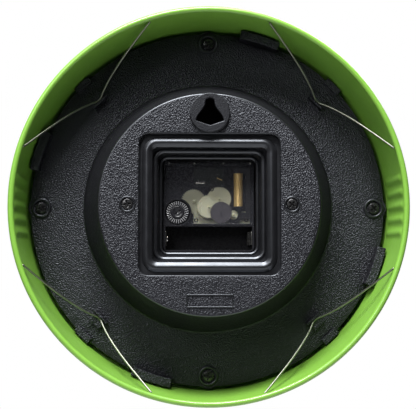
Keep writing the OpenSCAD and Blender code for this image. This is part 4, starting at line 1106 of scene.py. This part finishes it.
@dataclass
class SpringWires:
    """Bent steel wires that hold the cover in the case.

    Attributes:
        radius: radius of the wire.
        flat: length of the straight piece at the bend.
        reach: angle from the bend to each end, in degrees.
        bow: how far the legs bow outwards.
        end_at: distance of the ends from the axis.
    """

    radius: float = 0.6
    flat: float = 3.8
    reach: float = 27.3
    bow: float = 2.2
    end_at: float = 117.06

    def __post_init__(self) -> None:
        """Reads the depths of the bend and of the ends from the frame."""
        rear, front = SPACE.depths("spring_wire_1")
        self.bend_z = front - self.radius
        self.end_z = rear + self.radius
        self.bend_at = SCREW_R + FLANGE_OUT - BEND_IN

    def leg(self, share: float) -> Vector:
        """Gives a point along a leg, from the bend (0) to the end (1)."""
        reach = math.radians(self.reach)
        start = Vector((self.bend_at, self.flat / 2, self.bend_z))
        end = Vector((self.end_at * math.cos(reach), self.end_at * math.sin(reach), self.end_z))
        bow = Vector((self.bow * math.sin(math.pi * share ** 0.7), 0, 0))
        return start.lerp(end, share) + bow

    def path(self) -> list[Vector]:
        """Gives the wire's middle line, with its two bends rounded."""
        legs = [self.leg(share) for share in [0.045 + 0.955 * i / 30 for i in range(31)]]
        corner = Vector((self.bend_at, self.flat / 2, self.bend_z))
        before = corner - Vector((0, self.flat * 0.3, 0))
        shares = (0, 0.15, 0.3, 0.45, 0.6, 0.75, 0.9)
        rounded = [before.lerp(corner, t).lerp(corner.lerp(legs[0], t), t) for t in shares]
        half = rounded + legs
        mirrored = [Vector((p.x, -p.y, p.z)) for p in reversed(half)]
        return mirrored + half

    def build(self) -> None:
        """Builds each wire in place of its CAD node."""
        for number, direction in enumerate(WIRE_DIRS, 1):
            turn = Matrix.Rotation(math.radians(direction), 3, "Z")
            path = [Vector(SPACE.at(*(turn @ place))) for place in self.path()]
            shell = Shell()
            shell.tube(path, self.radius * MM, 16)
            name = f"spring_wire_{number}"
            mount(shell.build(name + "_shown", [SPRING], 60), "case", SPRING, name)


# ---------------------------------------------------------------- movement


@dataclass
class Movement:
    """The quartz movement seen in the well.

    Attributes:
        half: half the width of the movement.
        clip_x: sideways place of each moulded clip.
        mould_lines: left, right, bottom and top of each raised line on the smoked cover.
        bosses: place of each small boss.
        strip: corners of the copper strip about the middle of the circuit board.
        knob_r: radius of the setting knob.
        hub_r: radius of the knob's hub.
        knob_ridges: number of ridges on the knob.
        crest: half the share of a ridge's pitch that its crest takes, which carries a painted highlight.
        coil_wires: number of wire turns shown along the coil.
    """

    half: float = 28.0
    clip_x: tuple[float, ...] = (-25.6, -9.0, 9.0, 24.6)
    mould_lines: tuple[tuple[float, float, float, float], ...] = (
        (-9.6, 9.6, 23.4, 23.8), (-9.6, 9.6, 13.0, 13.4), (-9.6, -9.2, 13.0, 23.8),
        (9.2, 9.6, 13.0, 23.8), (-27.2, 10.4, -11.0, -10.6), (-27.2, -26.8, -11.0, 26.6))
    bosses: tuple[tuple[float, float], ...] = ((16.6, 10.6), (-1.8, 10.6), (-23.1, -8.3), (7.8, -8.5))
    strip: tuple[tuple[float, float], ...] = ((-3.4, 0.9), (-8.2, -1.2), (-8.5, -2.0), (-3.9, -0.1))
    knob_r: float = 7.3
    hub_r: float = 4.1
    knob_ridges: int = 28
    crest: float = 0.13
    coil_wires: int = 58

    def __post_init__(self) -> None:
        """Reads the depth of the movement's rear face from the frame."""
        self.rear = SPACE.depths("movement_case")[0]

    def build_housing(self) -> None:
        """Builds the case, cover, plate, bracket and fixings."""
        refined("movement_case", MOVEMENT, "case", 0.25, 3)
        refined("movement_cover", SMOKE, "case", 0.2, 2)
        refined("movement_bracket", SPACER, "case", 0.3, 2)
        refined("gear_plate", CREAM, "case", 0.15, 2)
        refined("fixing_washer", NICKEL, "case", 0.1, 2)
        refined("fixing_nut", BRASS, "case", 0.3, 3)

    def build_cover_marks(self) -> None:
        """Builds the moulded clips, bosses and the window line on the smoked cover."""
        clips = Shell()
        top = self.rear - 0.25
        for x in self.clip_x:
            self.box(clips, x - 0.55, x + 0.55, self.half - 1.7, self.half - 0.7, top, self.rear + 0.6)
        # the clips' light grey finish is a painted glint
        mount(soften(clips.build("cover_clips", [CLIP_GLINT]), 0.3, 3), "case", CLIP_GLINT)
        lines = Shell()
        for line in self.mould_lines:
            self.box(lines, *line, self.rear - 0.12, self.rear + 0.3)
        mount(soften(lines.build("cover_mould_lines", [SMOKE]), 0.1), "case", SMOKE)
        bosses = Shell()
        buried, top = self.rear + 0.3, self.rear - 0.3
        for place in self.bosses:
            bosses.lathe([(1.35, buried), (1.25, top), (0.7, top), (0.6, buried)], 32, place)
        mount(soften(bosses.build("cover_bosses", [MOVEMENT]), 0.08), "case", MOVEMENT)

    @staticmethod
    def box(shell: Shell, x0: float, x1: float, y0: float, y1: float, rear: float, front: float) -> None:
        """Adds a box that stands square to the clock."""
        flat = ((x0, y0), (x1, y0), (x1, y1), (x0, y1))
        shell.block([SPACE.at(x, y, z) for z in (rear, front) for x, y in flat])

    def build_motor(self) -> None:
        """Builds the stator, coil, board, crystal and contacts."""
        refined("stator", CORE_STEEL, "case", 0.08)
        refined("coil_core", CORE_STEEL, "case", 0.08)
        refined("coil_bobbin", MOVEMENT, "case", 0.12)
        refined("circuit_board", BOARD, "case", 0.08)
        refined("quartz_crystal", NICKEL, "case", 0.25, 3)
        refined("contact_positive", NICKEL, "case", 0.1)
        refined("contact_negative", NICKEL, "case", 0.08)
        self.build_winding()
        self.build_tracks()

    def build_winding(self) -> None:
        """Builds the winding as a stack of rounded wire turns."""
        low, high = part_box("coil_winding")
        x = (low.x + high.x) / 2
        depth = (low.y + high.y) / 2
        outer = (high.x - low.x) / 2
        pitch = (high.z - low.z) / self.coil_wires
        core = outer - 0.9 * MM
        profile = [(core, low.z)]
        points = 6
        for turn in range(self.coil_wires):
            for step in range(points):
                share = step / points
                lift = math.sin(math.pi * share) * 0.09 * MM
                profile.append((outer - 0.1 * MM + lift, low.z + (turn + share) * pitch))
        profile.append((core, high.z))
        shell = Shell()
        steps = 40
        rings = [[(x + r * math.cos(FULL_TURN * i / steps), depth + r * math.sin(FULL_TURN * i / steps), z)
                  for i in range(steps)] for r, z in profile]
        shell.loft(rings, looped=True)
        mount(shell.build("coil_winding_shown", [COPPER], 80), "case", COPPER, "coil_winding")

    def build_tracks(self) -> None:
        """Builds the copper strip on the rear of the circuit board."""
        middle = SPACE.centre("circuit_board")
        face = SPACE.depths("circuit_board")[1] - 1.0
        shell = Shell()
        shell.block([SPACE.at(middle[0] + x, middle[1] + y, z)
                     for z in (face - 0.06, face + 0.1) for x, y in self.strip])
        mount(shell.build("board_tracks", [COPPER]), "case", COPPER)

    def build_train(self) -> None:
        """Builds the wheels, pinions and arbors on their own bodies."""
        for node, finish, body in (
                ("rotor", CREAM, "rotor_body"), ("fifth_wheel", DARK_GEAR, "fifth_body"),
                ("second_wheel", CREAM, "second_body"), ("third_wheel", CREAM, "third_body"),
                ("centre_wheel", CREAM, "centre_body"), ("cannon_pinion", BRASS, "minute_body"),
                ("minute_wheel", CREAM, "minute_wheel_body"), ("hour_wheel", CREAM, "hour_body")):
            refined(node, finish, body, 0.04, 1)

    def knob_height(self, radius: float, angle: float) -> float:
        """Gives how far the knob's face stands towards the wall at a place on it."""
        ridge = 1 - abs((angle * self.knob_ridges / FULL_TURN) % 1 - 0.5) * 2.2
        ridge = min(0.9, max(0.0, ridge))
        band = smooth_step(self.hub_r + 0.1, self.hub_r + 0.6, radius) * (1 - smooth_step(6.6, 7.2, radius))
        hub = 1 - smooth_step(self.hub_r - 0.35, self.hub_r, radius)
        dish = 0.35 * (1 - smooth_step(2.2, 2.9, radius))
        off = abs(radius * math.sin(angle + 0.6))
        slot = 0.55 * (1 - smooth_step(0.35, 0.6, off)) * (1 - smooth_step(1.6, 2.0, radius))
        return 0.6 * ridge * band + 0.6 * hub - dish - slot

    def build_knob(self) -> None:
        """Builds the setting knob's face, keeping its CAD shaft and pinion as they are."""
        x, y = SPACE.centre("set_knob")
        rear = SPACE.depths("set_knob")[0]
        ground = rear + 0.7
        steps = self.knob_ridges * 12
        radii = [0.02, 0.4, 0.8, 1.2, 1.6, 1.9, 2.2, 2.5, 2.8, 3.2, 3.6, 3.8, 3.95, 4.1, 4.25, 4.45,
                 4.7, 5.1, 5.6, 6.1, 6.5, 6.8, 7.05, 7.2]
        angles = [FULL_TURN * i / steps for i in range(steps)]
        rings = [[SPACE.at(x + r * math.cos(a), y + r * math.sin(a), ground - self.knob_height(r, a))
                  for a in angles] for r in radii]
        rim = ((self.knob_r, 0.25), (self.knob_r, 1.9), (self.knob_r - 0.3, 2.1))
        rings += [SPACE.circle(r, ground + below, steps, (x, y)) for r, below in rim]
        shell = Shell()
        shell.loft(rings, capped=True)
        # crest faces take the light finish: a painted highlight along each ridge
        for i, r in enumerate(radii[:-1]):
            for k in range(steps if self.hub_r + 0.3 < r < 6.7 else 0):
                if abs((k + 0.5) * self.knob_ridges / steps % 1 - 0.5) < self.crest:
                    shell.marks[i * steps + k] = 1
        mount(shell.build("set_knob_face", [MOVEMENT, KNOB_HIGHLIGHT], 70), "knob_body", MOVEMENT)
        refined("set_knob", MOVEMENT, "knob_body", 0, behind=ground + 1.6)

    def build(self) -> None:
        """Builds every piece of the movement."""
        self.build_housing()
        self.build_cover_marks()
        self.build_motor()
        self.build_train()
        self.build_knob()


# ---------------------------------------------------------------- front


@dataclass
class Front:
    """Glass, gasket, spacer, dial and its print.

    Attributes:
        glass_t: thickness of the glass.
        rise: height of its dome.
        dome_r: radius of its dome.
        track_r: radius of the minute track.
        numeral_r: radius at which the numerals stand.
        numeral_h: height of the numerals.
        print_t: thickness of the print.
        spacer_wall: thickness of the dial spacer.
        boss_r: radius of a boss.
        boss_hole: radius of the screw hole in a boss.
        boss_h: height of a boss.
    """

    glass_t: float = 2.0
    rise: float = 5.5
    dome_r: float = 99.0
    track_r: float = 94.0
    numeral_r: float = 74.0
    numeral_h: float = 19.0
    print_t: float = 0.14
    spacer_wall: float = 2.0
    boss_r: float = 4.0
    boss_hole: float = 1.45
    boss_h: float = 7.3

    def build_glass(self) -> None:
        """Builds the domed glass."""
        rear = SPACE.depths("lens")[0]
        edge = SPACE.half_width("lens")
        parts = 40
        bow = [self.dome_r * i / parts for i in range(1, parts + 1)]
        inner = [(r, rear + self.rise * (1 - (r / self.dome_r) ** 2)) for r in bow]
        outer = [(r, z + self.glass_t) for r, z in inner]
        profile = [(0.02, rear + self.rise)] + inner + [(edge - 0.3, rear), (edge, rear + 0.3)]
        profile += [(edge, rear + self.glass_t - 0.3), (edge - 0.3, rear + self.glass_t)]
        profile += outer[::-1] + [(0.02, rear + self.rise + self.glass_t)]
        shell = Shell()
        shell.loft([SPACE.circle(r, z, 180) for r, z in profile], capped=True)
        mount(shell.build("front_glass", [GLASS], 50), "case", GLASS, "lens")

    @staticmethod
    def inner_radius(node: str) -> float:
        """Gives how near a CAD node comes to the clock's axis, in millimetres."""
        corners = frame["nodes"][node].data.vertices
        return min(math.hypot(v.co.x, v.co.z - SPACE.axis_z * MM) for v in corners) / MM

    @staticmethod
    def plate(near: float, far: float, rear: float, front: float, soft: float) -> Profile:
        """Gives the section of a flat ring with rounded edges.

        Args:
            near: inner radius.
            far: outer radius.
            rear: depth of its rear face.
            front: depth of its front face.
            soft: radius of the rounded edges.

        Returns:
            The section's points in order.
        """
        parts = 24
        left, right = near + soft, far - soft
        spread = [near + soft + (far - near - 2 * soft) * i / parts for i in range(1, parts)]
        section = arc((left, rear + soft), soft, 180, 270, 3) + [(r, rear) for r in spread]
        section += arc((right, rear + soft), soft, 270, 360, 3) + arc((right, front - soft), soft, 0, 90, 3)
        section += [(r, front) for r in reversed(spread)]
        return section + arc((left, front - soft), soft, 90, 180, 3)

    def flat_ring(self, node: str, finish: Finish, soft: float) -> None:
        """Builds a flat ring with rounded edges in place of its CAD node."""
        shell = Shell()
        depths = SPACE.depths(node)
        shell.lathe(self.plate(self.inner_radius(node), SPACE.half_width(node), *depths, soft), 240)
        mount(shell.build(node + "_shown", [finish], 60), "case", finish, node)

    def build_spacer(self) -> None:
        """Builds the angled ring that holds the dial off the glass, with its four screw bosses."""
        node = "dial_spacer"
        near, far = self.inner_radius(node), SPACE.half_width(node)
        rear, front = SPACE.depths(node)
        wall = self.spacer_wall
        soft, fillet = 0.2, 0.3
        shell = Shell()
        shell.lathe([(near, rear + soft), (near + soft, rear), (far - soft, rear), (far, rear + soft),
                     (far, rear + wall - soft), (far - soft, rear + wall),
                     (near + wall + fillet, rear + wall), (near + wall, rear + wall + fillet),
                     (near + wall, front - soft), (near + wall - soft, front), (near + soft, front),
                     (near, front - soft)], 240)
        for turn in range(4):
            a = math.radians(90 * turn)
            boss = self.plate(self.boss_hole, self.boss_r, rear + wall - 0.5, rear + self.boss_h, soft)
            shell.lathe(boss, 48, (SCREW_R * math.cos(a), SCREW_R * math.sin(a)))
        mount(shell.build(node + "_shown", [SPACER], 60), "case", SPACER, node)

    def numeral(self, text: str, height: float) -> bpy.types.Mesh:
        """Makes the mesh of one numeral, centred, flat and slightly thick."""
        curve = bpy.data.curves.new("numeral_" + text, "FONT")
        curve.body = text
        curve.size = height * 1.35 * MM
        curve.align_x = "CENTER"
        curve.align_y = "CENTER"
        curve.offset = 0.5 * MM
        curve.extrude = self.print_t / 2 * MM
        curve.resolution_u = 8
        holder = bpy.data.objects.new("numeral_" + text, curve)
        bpy.context.scene.collection.objects.link(holder)
        graph = bpy.context.evaluated_depsgraph_get()
        mesh = bpy.data.meshes.new_from_object(holder.evaluated_get(graph))
        bpy.data.objects.remove(holder)
        return mesh

    def build_print(self) -> None:
        """Builds the minute track, hour marks and numerals."""
        face = SPACE.depths("dial_plate")[1]
        top = face + self.print_t
        shell = Shell()
        ring = [(self.track_r - 1, face), (self.track_r, face), (self.track_r, top), (self.track_r - 1, top)]
        shell.lathe(ring, 240)
        for minute in range(60):
            half = 1.1 if minute % 5 == 0 else 0.4
            length = 6.5 if minute % 5 == 0 else 4.0
            self.mark(shell, minute * 6, self.track_r - length, self.track_r - 0.5, half, face, top)
        track = shell.build("dial_track", [INK], 30)
        mount(track, "case", INK, "dial_print")
        marks = Shell()
        for hour in (1, 2, 4, 5, 7, 8, 10, 11):
            self.mark(marks, hour * 30, self.numeral_r - 8, self.numeral_r + 9, 2.1, face, top)
        mount(marks.build("hour_marks", [GREEN_INK], 30), "case", GREEN_INK)
        for hour in (12, 3, 6, 9):
            mesh = self.numeral(str(hour), self.numeral_h)
            low_x, high_x, low_y, high_y = self.extent(mesh)
            a = math.radians(90 - 30 * hour)
            shift_x = self.numeral_r * math.cos(a) * MM - (low_x + high_x) / 2
            shift_y = self.numeral_r * math.sin(a) * MM - (low_y + high_y) / 2
            lift = (face + self.print_t / 2) * MM
            for vertex in mesh.vertices:
                x, y, z = vertex.co
                vertex.co = (x + shift_x, -z - lift, y + shift_y + SPACE.axis_z * MM)
            mesh.materials.clear()
            mesh.materials.append(INK.material())
            mount(show(f"numeral_{hour}", mesh, 30), "case", INK)

    @staticmethod
    def extent(mesh: bpy.types.Mesh) -> tuple[float, float, float, float]:
        """Gives the lowest and highest x and y of a flat mesh."""
        xs = [vertex.co.x for vertex in mesh.vertices]
        ys = [vertex.co.y for vertex in mesh.vertices]
        return min(xs), max(xs), min(ys), max(ys)

    @staticmethod
    def mark(shell: Shell, turn: float, near: float, far: float, half: float,
             rear: float, front: float) -> None:
        """Adds one radial mark, turned clockwise from twelve by an angle in degrees."""
        a = math.radians(90 - turn)
        along, across = (math.cos(a), math.sin(a)), (-math.sin(a), math.cos(a))
        flat = ((near, -half), (far, -half), (far, half), (near, half))
        shell.block([SPACE.at(r * along[0] + s * across[0], r * along[1] + s * across[1], z)
                     for z in (rear, front) for r, s in flat])

    def build_hands(self) -> None:
        """Builds the three hands on their own bodies."""
        refined("hour_hand", HAND_BLACK, "hour_body", 0.15, 2)
        refined("minute_hand", HAND_BLACK, "minute_body", 0.15, 2)
        refined("second_hand", HAND_RED, "second_body", 0.12, 2)

    def build(self) -> None:
        """Builds every piece of the front."""
        self.build_glass()
        self.flat_ring("lens_gasket", RUBBER, 0.25)
        self.build_spacer()
        self.flat_ring("dial_plate", DIAL, 0.12)
        self.build_print()
        self.build_hands()


# ---------------------------------------------------------------- room, light and camera


@dataclass(frozen=True)
class Lamp:
    """A soft lamp that faces the clock.

    Attributes:
        name: its name.
        place: where it stands, in metres from the clock's middle.
        size: its width and height, in metres.
        power: its power, in watts.
    """

    name: str
    place: Point
    size: tuple[float, float]
    power: float

    def build(self) -> None:
        """Builds the lamp."""
        data = bpy.data.lights.new(self.name, "AREA")
        data.shape = "RECTANGLE"
        data.size, data.size_y = self.size
        data.energy = self.power
        lamp = bpy.data.objects.new(self.name, data)
        lamp.visible_camera = False
        bpy.context.scene.collection.objects.link(lamp)
        middle = Vector((0, -0.02, SPACE.axis_z * MM))
        lamp.location = middle + Vector(self.place)
        lamp.rotation_mode = "QUATERNION"
        lamp.rotation_quaternion = (middle - lamp.location).to_track_quat("-Z", "Y")


@dataclass
class Studio:
    """Pale floor, soft light and the camera behind the clock.

    Attributes:
        distance: distance of the camera from the wall plane, in metres.
        shift_x: sideways place of the camera, in metres.
        drop: how far the camera stands below the clock's axis, in metres.
        view_width: width seen at the wall plane, in metres.
        aim_x: how far to the side of the axis the camera aims, in metres.
        aim_drop: how far below the axis it aims, in metres.
        floor_drop: how far the floor lies below the clock's axis, in metres.
        floor_radius: radius of the floor, in metres.
        glow: strength of the light that the surroundings shed.
        lamps: the lamps.
    """

    distance: float = 0.6
    shift_x: float = 0.02
    drop: float = 0.046
    view_width: float = 0.2478
    aim_x: float = 0.0012
    aim_drop: float = 0.0004
    floor_drop: float = 0.62
    floor_radius: float = 0.95
    glow: float = 0.04
    lamps: tuple[Lamp, ...] = (Lamp("key_lamp", (0.14, 0.49, 1.0), (0.65, 0.5), 32),
                               Lamp("fill_lamp", (0.5, 0.85, 0.5), (0.4, 0.4), 3.5),
                               Lamp("front_key_lamp", (-0.5, -0.9, 0.8), (0.7, 0.7), 15))

    def build_camera(self) -> None:
        """Places the camera and aims it close to the middle of the rear lip."""
        data = bpy.data.cameras.new("camera")
        camera = bpy.data.objects.new("camera", data)
        bpy.context.scene.collection.objects.link(camera)
        target = Vector((0, 0, SPACE.axis_z * MM))
        camera.location = target + Vector((self.shift_x, self.distance, -self.drop))
        target += Vector((self.aim_x, 0, -self.aim_drop))
        camera.rotation_mode = "QUATERNION"
        camera.rotation_quaternion = (target - camera.location).to_track_quat("-Z", "Y")
        data.lens = data.sensor_width * self.distance / self.view_width
        data.clip_start = 0.01
        bpy.context.scene.camera = camera

    def build_floor(self) -> None:
        """Builds the pale floor well below the clock."""
        steps = 96
        angles = [FULL_TURN * i / steps for i in range(steps)]
        ring = [(self.floor_radius * math.cos(a), self.floor_radius * math.sin(a),
                 SPACE.axis_z * MM - self.floor_drop) for a in angles]
        mesh = bpy.data.meshes.new("floor")
        mesh.from_pydata(ring, [], [list(range(steps))])
        recipe = Recipe("pale_floor")
        recipe.feed("Base Color", recipe.blend(recipe.noise(60, 3), (0.8, 0.8, 0.8), (0.84, 0.84, 0.84)))
        recipe.set(Roughness=0.9)
        mesh.materials.append(recipe.material)
        floor = bpy.data.objects.new("floor", mesh)
        bpy.context.scene.collection.objects.link(floor)

    def build_light(self) -> None:
        """Builds the lamps, and surroundings that look white and shed little light."""
        for lamp in self.lamps:
            lamp.build()
        world = bpy.data.worlds.new("surroundings")
        world.use_nodes = True
        nodes, links = world.node_tree.nodes, world.node_tree.links
        ground = nodes["Background"]
        ground.inputs["Color"].default_value = (1, 1, 1, 1)
        ground.inputs["Strength"].default_value = self.glow
        seen = nodes.new("ShaderNodeBackground")
        seen.inputs["Color"].default_value = (1, 1, 1, 1)
        seen.inputs["Strength"].default_value = 1.0
        path = nodes.new("ShaderNodeLightPath")
        mix = nodes.new("ShaderNodeMixShader")
        links.new(path.outputs["Is Camera Ray"], mix.inputs[0])
        links.new(ground.outputs[0], mix.inputs[1])
        links.new(seen.outputs[0], mix.inputs[2])
        links.new(mix.outputs[0], nodes["World Output"].inputs[0])
        bpy.context.scene.world = world
        bpy.context.scene.view_settings.view_transform = "Standard"

    def build(self) -> None:
        """Builds the camera, the floor and the light."""
        self.build_camera()
        self.build_floor()
        self.build_light()


def main() -> None:
    """Builds the clock and its surroundings."""
    logging.basicConfig(level=logging.INFO, format="%(name)s: %(message)s")
    for part in (Studio(), CaseRing(), BackCover(), Fasteners(), SpringWires(), Movement(), Front()):
        part.build()
        log.info("%s is built", type(part).__name__)


if __name__ == "__main__":
    main()
